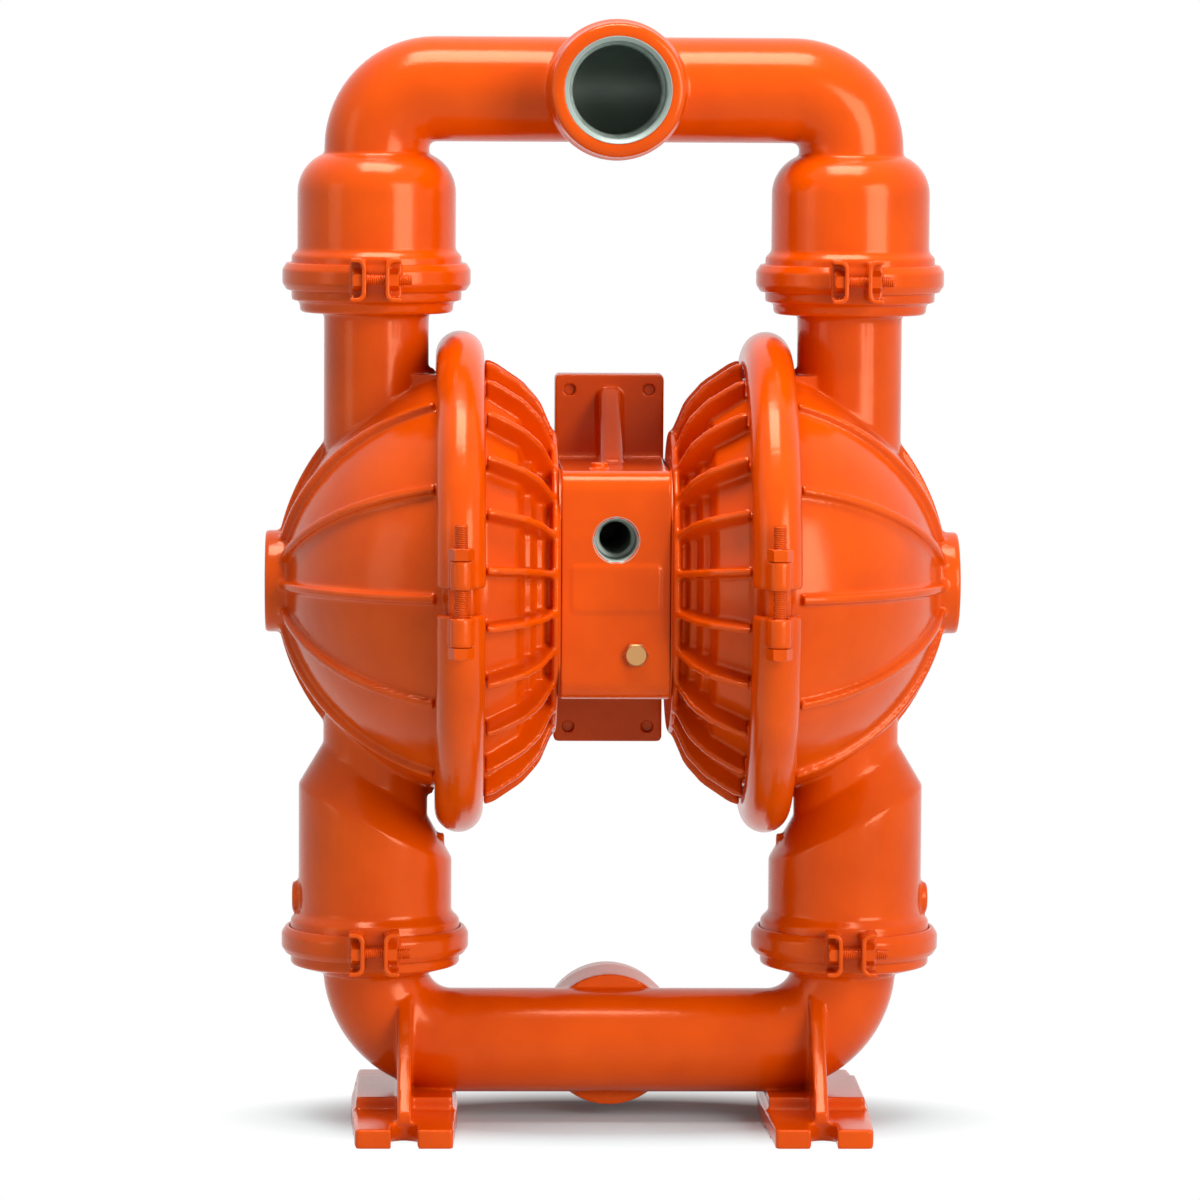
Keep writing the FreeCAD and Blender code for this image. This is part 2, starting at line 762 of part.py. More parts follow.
def air_chamber():
    rim_start = clamp_x - band_round_r
    flange_start = clamp_x - large_gap / 2 - large_root_width
    outer = [(air_face_x, 0), (air_face_x, air_hub_r, 0.8)]
    outer += air_profile(air_dish_steps)
    outer += [
        (rim_start - 1, large_root_r - 4, 3),
        (flange_start, large_root_r - 2),
        (clamp_x - large_gap / 2 - 1, large_root_r - 2),
        (clamp_x - large_gap / 2 - 1, 0),
    ]
    cavity = [(air_wall_inner_x, 0)]
    cavity += air_profile(air_cavity_steps)
    cavity += [
        (rim_start, large_root_r - air_rim_inset, 6),
        (clamp_x - 6, large_bore_r - air_mouth_inset, 2),
        (clamp_x + 1, large_bore_r),
        (clamp_x + 1, 0),
    ]
    base = V(0, 0, shaft_z)
    rib_outline = air_profile(air_rib_steps)
    rib_outline += [(rim_start - 0.5, large_root_r + 8), (rim_start - 0.5, large_root_r - 10)]
    rib_outline += [(air_face_x + along, piston_r + beyond) for along, beyond in air_rib_root]
    half = air_rib_width / 2
    rib = prism(rib_outline, lambda p: V(p.x, -half, shaft_z + p.y), Y_AXIS * air_rib_width)
    angle_step = 360 / air_rib_count
    ribs = [turned_about_shaft(rib, angle_step * (index + 0.5)) for index in range(air_rib_count)]
    shell = joined([turned(outer, base, X_AXIS), large_flange(-X_AXIS)] + ribs)
    hub_length = air_wall_inner_x - air_face_x + 2
    cuts = [turned(cavity, base, X_AXIS), bead_groove()]
    cuts += side_holes(air_face_x - 1, hub_length)
    for y, z in chamber_screw_spots():
        cuts.append(rod(chamber_screw_r + bolt_clearance, V(air_face_x - 1, y, z), X_AXIS, hub_length))
        cuts.append(rod(chamber_screw_head_r + bolt_clearance,
                        V(air_wall_inner_x - screw_counterbore, y, z), X_AXIS, screw_counterbore + 1))
    return shell.cut(cuts)


def side_holes(start_x, length):
    # Holes shared by the gasket and the air chamber: shaft, pilot pin and air way.
    return [
        rod(shaft_passage_r, V(start_x, 0, shaft_z), X_AXIS, length),
        rod(pilot_passage_r, V(start_x, 0, shaft_z - pilot_drop), X_AXIS, length),
        rod(air_way_r, V(start_x, air_way_y, air_way_z), X_AXIS, length),
    ]


def chamber_screw_spots():
    reach = chamber_screw_reach
    return [(y, shaft_z + z) for y in (-reach, reach) for z in (-reach, reach)]


def block_side_outline():
    return [
        (-block_front_y, block_bottom_z, block_edge_radius),
        (block_rear_y, block_bottom_z),
        (block_rear_y, block_top_z),
        (-block_front_y, block_top_z, block_edge_radius),
    ]


def chamber_gasket():
    outline = block_side_outline()
    sheet = prism(outline, lambda p: V(block_half_x, p.x, p.y), X_AXIS * chamber_gasket_wall)
    sheet = sheet.common(rod(air_hub_r - 2, V(block_half_x, 0, shaft_z), X_AXIS, chamber_gasket_wall))
    cuts = side_holes(block_half_x - 1, chamber_gasket_wall + 2)
    for y, z in chamber_screw_spots():
        cuts.append(rod(chamber_screw_r + bolt_clearance, V(block_half_x - 1, y, z), X_AXIS,
                        chamber_gasket_wall + 2))
    return sheet.cut(cuts)


def chamber_screws():
    screws = []
    head_x = air_wall_inner_x - screw_counterbore
    for y, z in chamber_screw_spots():
        head = rod(chamber_screw_head_r, V(head_x, y, z), X_AXIS, chamber_screw_head)
        socket_x = head_x + chamber_screw_head - chamber_screw_socket_depth
        socket = hexagon(chamber_screw_socket, V(socket_x, y, z), X_AXIS, chamber_screw_socket_depth + 1)
        tip_x = head_x - chamber_screw_length
        shank = rod(chamber_screw_r, V(tip_x, y, z), X_AXIS, chamber_screw_length)
        screws.append(joined([head.cut(socket), shank]))
    return screws


# Centre block

def plate_hole_spots():
    rows = (plate_bottom_z + plate_hole_inset, plate_top_z - plate_hole_inset)
    return [(x, z) for x in (-plate_hole_x, plate_hole_x) for z in rows]


def mounting_plate(start_y, wall):
    corners = [
        (-plate_half_x, plate_bottom_z, plate_corner_radius),
        (plate_half_x, plate_bottom_z, plate_corner_radius),
        (plate_half_x, plate_top_z, plate_corner_radius),
        (-plate_half_x, plate_top_z, plate_corner_radius),
    ]
    return prism(corners, lambda p: V(p.x, start_y, p.y), Y_AXIS * wall)


def air_ways(start_y, length):
    ways = [rod(air_way_r, V(x, start_y, air_way_z), Y_AXIS, length) for x in (-air_way_x, air_way_x)]
    return ways + [rod(exhaust_bore_r, V(0, start_y, exhaust_z), Y_AXIS, length)]


def center_block():
    length = 2 * block_half_x
    body = prism(block_side_outline(), lambda p: V(-block_half_x, p.x, p.y), X_AXIS * length)
    plate = mounting_plate(block_rear_y, plate_wall)
    gusset_outline = [
        (block_rear_y + 1, block_top_z - 4),
        (block_rear_y + 1, shaft_z + gusset_rise),
        (block_rear_y - gusset_crest, shaft_z + gusset_rise, 3),
        (gusset_front_y, block_top_z + 2),
        (gusset_front_y, block_top_z - 4),
    ]
    gusset = prism(gusset_outline, lambda p: V(-gusset_half_x, p.x, p.y), X_AXIS * (2 * gusset_half_x))
    gusset_edges = [edge for edge in gusset.Edges
                    if abs(edge.CenterOfMass.x) > gusset_half_x - 0.1 and edge.BoundBox.YLength > 20
                    and edge.BoundBox.ZLength > 20]
    gusset = gusset.makeFillet(gusset_half_x * 0.7, gusset_edges)
    panel_low = shaft_z + panel_rise - panel_half_z
    panel_high = shaft_z + panel_rise + panel_half_z
    panel_corners = [
        (-panel_half_x, panel_low, panel_corner_radius),
        (panel_half_x, panel_low, panel_corner_radius),
        (panel_half_x, panel_high, panel_corner_radius),
        (-panel_half_x, panel_high, panel_corner_radius),
    ]
    panel_y = -block_front_y - panel_wall
    panel = prism(panel_corners, lambda p: V(p.x, panel_y, p.y), Y_AXIS * (panel_wall + 1))
    boss = rod(boss_r, V(boss_x, boss_inset - block_front_y, block_top_z - 1), Z_AXIS, boss_height + 1)
    shell = joined([body, plate, gusset, panel, boss])

    cuts = [
        rod(bushing_r + bolt_clearance / 3, V(-block_half_x - 1, 0, shaft_z), X_AXIS, length + 2),
        rod(pilot_sleeve_r + bolt_clearance / 3, V(-block_half_x - 1, 0, shaft_z - pilot_drop), X_AXIS,
            length + 2),
        rod(exhaust_thread_r, V(0, -block_front_y - 1, exhaust_z), Y_AXIS, exhaust_thread_depth + 1),
        rod(exhaust_bore_r, V(0, -block_front_y, exhaust_z), Y_AXIS, block_front_y + plate_rear_y + 1),
        rod(plug_r + bolt_clearance / 3, V(plug_x, -block_front_y - 1, shaft_z - plug_drop), Y_AXIS,
            plug_depth + 2),
    ]
    for side in (-1, 1):
        way_length = plate_rear_y - air_way_y + air_way_r
        cuts.append(rod(air_way_r, V(side * air_way_x, air_way_y, air_way_z), Y_AXIS, way_length))
        cross_start = min(side * air_way_x, side * (block_half_x + 1))
        cuts.append(rod(air_way_r, V(cross_start, air_way_y, air_way_z), X_AXIS,
                        block_half_x + 1 - air_way_x))
        for y, z in chamber_screw_spots():
            deep = chamber_screw_length + air_face_x - air_wall_inner_x + screw_counterbore
            start = min(side * (block_half_x - deep), side * (block_half_x + 1))
            cuts.append(rod(chamber_screw_r + bolt_clearance / 3, V(start, y, z), X_AXIS, deep + 1))
    for x, z in plate_hole_spots():
        cuts.append(rod(plate_hole_r, V(x, block_rear_y - 1, z), Y_AXIS, plate_wall + 2))
    return shell.cut(cuts)


def block_plug():
    plug_z = shaft_z - plug_drop
    front = V(plug_x, -block_front_y - plug_head, plug_z)
    corner_r = plug_flats / math.sqrt(3) + 0.2
    crown = turned([
        (0, 0),
        (0, plug_flats / 2 - plug_crown),
        (plug_head / 2, corner_r),
        (plug_head + 0.1, corner_r),
        (plug_head + 0.1, 0),
    ], front, Y_AXIS)
    head = hexagon(plug_flats, front, Y_AXIS, plug_head).common(crown)
    stem = rod(plug_r, V(plug_x, -block_front_y, plug_z), Y_AXIS, plug_depth)
    return joined([head, stem])


def shaft_bushing():
    start = V(-bushing_half, 0, shaft_z)
    return ring(bushing_r, shaft_r + running_clearance, start, X_AXIS, 2 * bushing_half)


def shaft_seal():
    start = bushing_half + 1
    return ring(bushing_r, shaft_r + running_clearance, V(start, 0, shaft_z), X_AXIS, seal_width)


def pilot_sleeve():
    sleeve = ring(pilot_sleeve_r, pilot_land_r + running_clearance,
                  V(-block_half_x + 0.5, 0, shaft_z - pilot_drop), X_AXIS, 2 * block_half_x - 1)
    for x in (-pilot_port_x, 0, pilot_port_x):
        cross = rod(pilot_port_r, V(x, -pilot_sleeve_r - 1, shaft_z - pilot_drop), Y_AXIS,
                    2 * pilot_sleeve_r + 2)
        sleeve = sleeve.cut(cross)
    return sleeve


def pilot_spool():
    # The inner pistons push its pins at the end of each stroke.
    tip = inner_piston_back_x - piston_stroke_half + pilot_half_travel - pilot_touch_gap
    corners = [(-tip, 0), (-tip, pilot_pin_r, 1)]
    for middle in (-pilot_land_outer_x, -pilot_land_inner_x, pilot_land_inner_x, pilot_land_outer_x):
        start = middle - pilot_land_half
        finish = middle + pilot_land_half
        corners += [(start, pilot_pin_r), (start, pilot_land_r)]
        corners += [(finish, pilot_land_r), (finish, pilot_pin_r)]
    corners += [(tip, pilot_pin_r, 1), (tip, 0)]
    return turned(corners, V(0, 0, shaft_z - pilot_drop), X_AXIS)


# Shaft, pistons and diaphragms

def inner_piston():
    front = diaphragm_mid_x - diaphragm_wall / 2
    back = inner_piston_back_x
    plate_back = back + inner_piston_step
    corners = [
        (back, shaft_stud_r + running_clearance),
        (back, inner_piston_hub_r, 2),
        (plate_back, inner_piston_web_r, 2),
        (plate_back, piston_r - inner_piston_bevel, 4),
        (plate_back + 1, piston_r, 2),
        (front, piston_r, 3),
        (front, shaft_stud_r + running_clearance),
    ]
    return turned(corners, V(0, 0, shaft_z), X_AXIS)


def outer_piston():
    start = diaphragm_mid_x + diaphragm_wall / 2
    face = start + outer_piston_wall
    cap = face + outer_piston_cap
    corners = [
        (start, shaft_stud_r + running_clearance),
        (start, outer_piston_r, 3),
        (start + outer_piston_rim, outer_piston_r, 2),
        (face - 2, outer_piston_shoulder_r, 12),
        (face, outer_piston_hub_r, 3),
        (face, outer_piston_cap_r),
        (cap, outer_piston_cap_r - 2, 2),
        (cap, 0),
        (face + stud_space, 0),
        (face + stud_space, shaft_stud_r + running_clearance),
    ]
    return turned(corners, V(0, 0, shaft_z), X_AXIS)


def main_shaft():
    shoulder = inner_piston_back_x
    stud_end = diaphragm_mid_x + diaphragm_wall / 2 + outer_piston_wall + stud_space - 1
    corners = [
        (-stud_end, 0),
        (-stud_end, shaft_stud_r, 1),
        (-shoulder, shaft_stud_r),
        (-shoulder, shaft_r, 0.8),
        (shoulder, shaft_r, 0.8),
        (shoulder, shaft_stud_r),
        (stud_end, shaft_stud_r, 1),
        (stud_end, 0),
    ]
    return turned(corners, V(0, 0, shaft_z), X_AXIS)


def diaphragm():
    # Flat in the middle between the pistons, then a fold that rolls as they move, then the clamped rim.
    back = diaphragm_mid_x - diaphragm_wall / 2
    front = diaphragm_mid_x + diaphragm_wall / 2
    fold_r = (piston_r + large_bore_r) / 2 + 3.5
    fold_back = clamp_x + fold_rise - 1
    fold_front = clamp_x + fold_rise + diaphragm_wall
    sheet = [
        (back, shaft_stud_r + running_clearance),
        (front, shaft_stud_r + running_clearance),
        (front, outer_piston_r + 6, 6),
        (fold_front, fold_r - fold_half, 10),
        (fold_front, fold_r + fold_half, 8),
        (clamp_x + rim_sheet_half, large_bore_r - 1, 2),
        (clamp_x + rim_sheet_half, large_rim_r - 2),
        (clamp_x - rim_sheet_half, large_rim_r - 2),
        (clamp_x - rim_sheet_half, large_bore_r - 3, 3),
        (fold_back, fold_r + fold_half - 2, 5),
        (fold_back, fold_r - fold_half + 2, 6),
        (back, piston_r + 4, 6),
    ]
    sheet = turned(sheet, V(0, 0, shaft_z), X_AXIS)
    bead = Part.makeTorus(bead_r, bead_half, V(clamp_x, 0, shaft_z), X_AXIS)
    return joined([sheet, bead])


# Large clamps

def band_profile():
    half_foot = large_gap / 2 + large_root_width + seat_clearance
    half_rim = large_gap / 2 + large_rim_width + seat_clearance
    inner_r = large_rim_r + seat_clearance
    slope = (large_root_width - large_rim_width) / (large_rim_r - large_root_r)
    half_foot -= slope * (band_foot_r - large_root_r)
    corners = [
        (band_round_r, band_centre_r), (band_round_r, band_foot_r), (half_foot, band_foot_r),
        (half_rim, inner_r), (-half_rim, inner_r), (-half_foot, band_foot_r),
        (-band_round_r, band_foot_r), (-band_round_r, band_centre_r),
    ]
    points = [V(clamp_x + x, 0, shaft_z + r) for x, r in corners]
    edges = [Part.LineSegment(points[i], points[i + 1]).toShape() for i in range(len(points) - 1)]
    crest = V(clamp_x, 0, shaft_z + band_centre_r + band_round_r)
    edges.append(Part.Arc(points[-1], crest, points[0]).toShape())
    return Part.Face(Part.Wire(edges))


def large_clamp_half(upward):
    band = band_profile().revolve(V(0, 0, shaft_z), X_AXIS, 360)
    reach = band_centre_r + band_round_r + 1
    sign = 1 if upward else -1
    near = shaft_z + sign * band_split / 2
    far = shaft_z + sign * reach
    half = band_round_r + 1
    low, high = sorted((near, far))
    band = band.common(block((clamp_x - half, -reach, low), (clamp_x + half, reach, high)))
    parts = [band]
    holes = []
    low = min(near, near + sign * band_lug_height)
    for side in (-1, 1):
        spot = V(clamp_x, side * band_bolt_y, low)
        parts.append(rod(band_lug_r, spot, Z_AXIS, band_lug_height))
        inner_y = side * (large_rim_r + band_lug_root)
        y_low, y_high = sorted((inner_y, side * band_bolt_y))
        parts.append(block((clamp_x - band_lug_r, y_low, low),
                           (clamp_x + band_lug_r, y_high, low + band_lug_height)))
        holes.append(rod(band_bolt_r + bolt_clearance, spot - Z_AXIS, Z_AXIS, band_lug_height + 2))
    return joined(parts).cut(holes)


def large_clamp_bolt(side):
    low = shaft_z - band_split / 2 - band_lug_height
    high = shaft_z + band_split / 2 + band_lug_height + band_bolt_tail
    spot = V(clamp_x, side * band_bolt_y, low)
    head = hexagon(band_nut_flats, spot - Z_AXIS * band_nut_height, Z_AXIS, band_nut_height)
    return joined([head, rod(band_bolt_r, spot, Z_AXIS, high - low)])


def large_clamp_nut(side):
    start = V(clamp_x, side * band_bolt_y, shaft_z + band_split / 2 + band_lug_height)
    nut = hexagon(band_nut_flats, start, Z_AXIS, band_nut_height)
    return nut.cut(rod(band_bolt_r + bolt_clearance / 3, start, Z_AXIS, band_nut_height))


# Small clamps

def small_band(joint_z, x):
    gap = seat_clearance
    wall = small_band_wall
    corners = [
        (-small_rim_half - 0.5, small_rim_r + gap),
        (small_rim_half + 0.5, small_rim_r + gap),
        (small_taper_half, small_flange_r + gap),
        (small_taper_half, small_flange_r + gap + small_band_lip, 1),
        (small_rim_half, small_rim_r + gap + wall, 3),
        (-small_rim_half, small_rim_r + gap + wall, 3),
        (-small_taper_half, small_flange_r + gap + small_band_lip, 1),
        (-small_taper_half, small_flange_r + gap),
    ]
    return turned(corners, V(x, 0, joint_z), Z_AXIS)


def small_clamp_half(joint_z, x, side):
    # side is 1 for the half on the +X side of the leg and -1 for the other.
    band = small_band(joint_z, x)
    reach = small_rim_r + small_band_wall + 2
    tall = small_lug_height
    x_low, x_high = sorted((x + side * small_band_split / 2, x + side * reach))
    band = band.common(block((x_low, -reach, joint_z - tall), (x_high, reach, joint_z + tall)))
    web_x = small_band_split / 2
    half = small_lug_height / 2
    deep = web_x + small_lug_depth
    wall = small_lug_wall
    channel = [
        (web_x, -half, 5), (deep, -half), (deep, -half + wall), (web_x + wall, -half + wall, 3),
        (web_x + wall, half - wall, 3), (deep, half - wall), (deep, half), (web_x, half, 5),
    ]
    parts = [band]
    holes = []
    for end in (-1, 1):
        start_y = end * small_lug_back
        thickness = Y_AXIS * (end * (small_lug_front - small_lug_back))
        parts.append(prism(channel, lambda p: V(x + side * p.x, start_y, joint_z + p.y), thickness))
        stay_low, stay_high = sorted((start_y, end * (small_lug_back + small_lug_stay)))
        stay_x = sorted((x + side * web_x, x + side * deep))
        parts.append(block((stay_x[0], stay_low, joint_z - half + wall / 2),
                           (stay_x[1], stay_high, joint_z + half - wall / 2)))
        hole_start = V(x + min(side * web_x, side * (web_x + wall)) - 1, end * small_bolt_y, joint_z)
        holes.append(rod(small_bolt_r + bolt_clearance, hole_start, X_AXIS, wall + 2))
    keep_clear = rod(small_rim_r + seat_clearance, V(x, 0, joint_z - tall), Z_AXIS, 2 * tall)
    trim = [shape.cut(keep_clear) for shape in parts[1:]]
    return joined([band] + trim).cut(holes)


def small_clamp_spots():
    return [(joint_z, x) for joint_z in (outlet_joint_z, inlet_joint_z) for x in (-leg_x, leg_x)]


def small_clamp_bolt(joint_z, x, end):
    web_face = small_band_split / 2 + small_lug_wall
    start = V(x - web_face, end * small_bolt_y, joint_z)
    head = hexagon(small_nut_flats, start - X_AXIS * small_nut_height, X_AXIS, small_nut_height)
    return joined([head, rod(small_bolt_r, start, X_AXIS, small_bolt_length - web_face - small_nut_height)])


def small_clamp_nut(joint_z, x, end):
    start = V(x + small_band_split / 2 + small_lug_wall, end * small_bolt_y, joint_z)
    nut = hexagon(small_nut_flats, start, X_AXIS, small_nut_height)
    return nut.cut(rod(small_bolt_r + bolt_clearance / 3, start, X_AXIS, small_nut_height))


# Valve seats, sealing rings and balls

def valve_seat(joint_z, x):
    outer_r = cage_bore_r - seat_clearance
    cone_top_r = seat_bore_r + seat_above + seat_cone_start
    corners = [
        (-seat_below, seat_bore_r + seat_foot_wall),
        (-seat_below, outer_r),
        (seat_above, outer_r, 1),
        (seat_above, cone_top_r, 1),
        (-seat_cone_start, seat_bore_r),
        (-seat_cone_start - 0.6, seat_bore_r),
    ]
    return turned(corners, V(x, 0, joint_z), Z_AXIS)


def seat_ring(joint_z, x):
    ring_r = cage_bore_r - seat_clearance + oring_r + running_clearance
    return Part.makeTorus(ring_r, oring_r, V(x, 0, joint_z), Z_AXIS)


def valve_ball(joint_z, x):
    return Part.makeSphere(ball_r, V(x, 0, ball_centre_z(joint_z)))


# Air valve

def valve_gasket():
    sheet = mounting_plate(plate_rear_y, valve_gasket_wall)
    cuts = air_ways(plate_rear_y - 1, valve_gasket_wall + 2)
    cuts += [rod(plate_hole_r, V(x, plate_rear_y - 1, z), Y_AXIS, valve_gasket_wall + 2)
             for x, z in plate_hole_spots()]
    return sheet.cut(cuts)


def air_valve_body():
    plate = mounting_plate(valve_face_y, valve_flange_wall)
    height = valve_top_z - valve_bottom_z
    barrel = turned([
        (0, 0), (0, valve_barrel_r, 2), (height, valve_barrel_r, 2), (height, 0),
    ], V(0, valve_barrel_y, valve_bottom_z), Z_AXIS)
    saddle = block((-valve_saddle_half_x, valve_face_y, valve_bottom_z + valve_saddle_inset),
                   (valve_saddle_half_x, valve_barrel_y, valve_top_z - valve_saddle_inset))
    port_reach = air_port_face_y - valve_barrel_y
    port = turned([
        (0, 0),
        (0, air_port_r + air_port_root),
        (valve_barrel_r - 4, air_port_r + air_port_root - 1, 3),
        (port_reach, air_port_r, 2),
        (port_reach, 0),
    ], V(0, valve_barrel_y, air_port_z), Y_AXIS)
    shell = joined([plate, barrel, saddle, port])
    seat_depth = retainer_inset + retainer_wall + valve_cap_flange
    cuts = [
        rod(valve_bore_r, V(0, valve_barrel_y, valve_bottom_z - 1), Z_AXIS, height + 2),
        rod(exhaust_thread_r, V(0, air_port_face_y - air_port_thread_depth, air_port_z), Y_AXIS,
            air_port_thread_depth + 1),
        rod(exhaust_bore_r, V(0, valve_barrel_y, air_port_z), Y_AXIS, air_port_face_y - valve_barrel_y),
    ]
    for end_z, direction in ((valve_bottom_z, Z_AXIS), (valve_top_z, -Z_AXIS)):
        mouth = V(0, valve_barrel_y, end_z)
        cuts.append(rod(valve_cap_flange_r + seat_clearance / 3, mouth - direction, direction,
                        seat_depth + 1))
        cuts.append(rod(valve_cap_flange_r + retainer_groove, mouth + direction * retainer_inset, direction,
                        retainer_wall + 0.2))
    cuts += air_ways(valve_face_y - 1, valve_barrel_y - valve_face_y)
    cuts += [rod(plate_hole_r, V(x, valve_face_y - 1, z), Y_AXIS, valve_flange_wall + 2)
             for x, z in plate_hole_spots()]
    return shell.cut(cuts)


def valve_cap_span():
    # Distance from each end of the valve body to the inner face of its cap.
    return retainer_inset + retainer_wall + valve_cap_flange + valve_cap_depth


def air_valve_end_cap(end_z, direction):
    start = retainer_inset + retainer_wall
    corners = [
        (start, 0),
        (start, valve_cap_flange_r, 0.6),
        (start + valve_cap_flange, valve_cap_flange_r),
        (start + valve_cap_flange, valve_bore_r - running_clearance),
        (valve_cap_span(), valve_bore_r - running_clearance, 1),
        (valve_cap_span(), 0),
    ]
    return turned(corners, V(0, valve_barrel_y, end_z), direction)


def retaining_ring(end_z, direction):
    start = V(0, valve_barrel_y, end_z) + direction * retainer_inset
    snap = ring(valve_cap_flange_r + retainer_groove - seat_clearance, retainer_inner_r, start, direction,
                retainer_wall)
    gap = block((-retainer_gap / 2, valve_barrel_y - valve_cap_flange_r - 3, end_z - valve_cap_depth),
                (retainer_gap / 2, valve_barrel_y, end_z + valve_cap_depth))
    return snap.cut(gap)


def air_valve_spool():
    low = valve_bottom_z + valve_cap_span() + seat_clearance
    high = valve_top_z - valve_cap_span() - seat_clearance - spool_travel
    land_r = valve_bore_r - running_clearance
    waist_r = land_r - spool_waist
    length = high - low
    land = length / 8
    corners = [(0, 0), (0, land_r, 1)]
    step = (length - land) / 3
    for index in range(3):
        start = land + index * step
        finish = start + step - land
        corners += [(start, land_r), (start, waist_r, 2), (finish, waist_r, 2), (finish, land_r)]
    corners += [(length, land_r, 1), (length, 0)]
    return turned(corners, V(0, valve_barrel_y, low), Z_AXIS)


def air_valve_screws():
    screws = []
    rear_y = valve_face_y + valve_flange_wall
    for x, z in plate_hole_spots():
        head = rod(valve_screw_head_r, V(x, rear_y, z), Y_AXIS, valve_screw_head)
        socket_y = rear_y + valve_screw_head - valve_screw_socket_depth
        socket = hexagon(valve_screw_socket, V(x, socket_y, z), Y_AXIS, valve_screw_socket_depth + 1)
        start_y = block_rear_y + valve_screw_inset
        shank = rod(plate_hole_r - bolt_clearance, V(x, start_y, z), Y_AXIS, rear_y - start_y)
        screws.append(joined([head.cut(socket), shank]))
    return screws


def build():
    nodes = {
        "discharge_manifold": discharge_manifold(),
        "inlet_manifold": inlet_manifold(),
        "center_block": center_block(),
        "block_plug": block_plug(),
        "main_shaft": main_shaft(),
        "shaft_bushing": shaft_bushing(),
        "shaft_seals": group(both_sides(shaft_seal())),
        "pilot_sleeve": pilot_sleeve(),
        "pilot_spool": pilot_spool(),
        "chamber_screws": group([one for screw in chamber_screws() for one in both_sides(screw)]),
        "air_valve_gasket": valve_gasket(),
        "air_valve_body": air_valve_body(),
        "air_valve_spool": air_valve_spool(),
        "air_valve_cap_lower": air_valve_end_cap(valve_bottom_z, Z_AXIS),
        "air_valve_cap_upper": air_valve_end_cap(valve_top_z, -Z_AXIS),
        "air_valve_retaining_rings": group([
            retaining_ring(valve_bottom_z, Z_AXIS), retaining_ring(valve_top_z, -Z_AXIS)]),
        "air_valve_screws": group(air_valve_screws()),
    }
    halves = {
        "liquid_chamber": liquid_chamber(),
        "air_chamber": air_chamber(),
        "chamber_gasket": chamber_gasket(),
        "diaphragm": diaphragm(),
        "inner_piston": inner_piston(),
        "outer_piston": outer_piston(),
        "large_clamp_upper": large_clamp_half(True),
        "large_clamp_lower": large_clamp_half(False),
    }
    for name, shape in halves.items():
        nodes[name + "_right"] = shape
        nodes[name + "_left"] = mirrored(shape)
    bolts = [large_clamp_bolt(side) for side in (-1, 1)]
    nuts = [large_clamp_nut(side) for side in (-1, 1)]
    nodes["large_clamp_bolts"] = group([one for bolt in bolts for one in both_sides(bolt)])
    nodes["large_clamp_nuts"] = group([one for nut in nuts for one in both_sides(nut)])

    for joint_z, level in ((inlet_joint_z, "inlet"), (outlet_joint_z, "outlet")):
        for x, side in ((-leg_x, "left"), (leg_x, "right")):
            place = level + "_" + side
            nodes[place + "_ball"] = valve_ball(joint_z, x)
            nodes[place + "_seat"] = valve_seat(joint_z, x)
            nodes[place + "_clamp_a"] = small_clamp_half(joint_z, x, -1)
            nodes[place + "_clamp_b"] = small_clamp_half(joint_z, x, 1)
    spots = small_clamp_spots()
    nodes["seat_rings"] = group([seat_ring(joint_z, x) for joint_z, x in spots])
    nodes["small_clamp_bolts"] = group([
        small_clamp_bolt(joint_z, x, end) for joint_z, x in spots for end in (-1, 1)])
    nodes["small_clamp_nuts"] = group([
        small_clamp_nut(joint_z, x, end) for joint_z, x in spots for end in (-1, 1)])
    return nodes


os.makedirs("parts", exist_ok=True)
for name, shape in build().items():
    shape.exportStep("parts/" + name + ".step")
    print(name, len(shape.Solids), "solids", round(shape.Volume / 1000, 1), "cm3", "valid", shape.isValid())
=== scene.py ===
# Looks of an air operated diaphragm pump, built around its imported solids.
# Metres, Z up, the outlet port faces -Y. A cast piece is a copy of its solid with the edges and corners
# rounded as a foundry leaves them, and then painted.
import json
import math

import bmesh
import bpy
import numpy as np
from mathutils import Matrix, Vector


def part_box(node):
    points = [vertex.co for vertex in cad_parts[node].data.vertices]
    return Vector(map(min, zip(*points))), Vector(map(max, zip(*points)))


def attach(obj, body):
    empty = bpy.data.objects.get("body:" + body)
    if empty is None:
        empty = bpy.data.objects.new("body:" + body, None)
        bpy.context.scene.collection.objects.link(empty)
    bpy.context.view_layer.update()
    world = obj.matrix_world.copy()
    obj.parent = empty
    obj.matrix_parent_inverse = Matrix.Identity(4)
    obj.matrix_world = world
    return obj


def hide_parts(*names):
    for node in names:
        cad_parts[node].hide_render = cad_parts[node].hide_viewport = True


mm = 0.001
weldReach = 0.002 * mm
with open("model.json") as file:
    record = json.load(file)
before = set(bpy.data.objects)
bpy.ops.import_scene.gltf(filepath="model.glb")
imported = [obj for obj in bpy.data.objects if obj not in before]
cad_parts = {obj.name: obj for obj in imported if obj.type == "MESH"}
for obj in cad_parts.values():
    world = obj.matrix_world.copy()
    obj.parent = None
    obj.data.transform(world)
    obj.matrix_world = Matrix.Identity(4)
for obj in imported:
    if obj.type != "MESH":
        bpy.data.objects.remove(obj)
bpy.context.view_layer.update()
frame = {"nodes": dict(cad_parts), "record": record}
print("frame loaded,", len(frame["nodes"]), "pieces")


def linearColour(hexText):
    levels = [int(hexText[i:i + 2], 16) / 255 for i in (1, 3, 5)]
    return tuple([c / 12.92 if c <= 0.04045 else ((c + 0.055) / 1.055) ** 2.4 for c in levels] + [1])


def addNode(tree, kind, inputs=None, **settings):
    node = tree.nodes.new(kind)
    for key, value in settings.items():
        setattr(node, key, value)
    for key, value in (inputs or {}).items():
        if isinstance(value, bpy.types.NodeSocket):
            tree.links.new(value, node.inputs[key])
        else:
            node.inputs[key].default_value = value
    return node


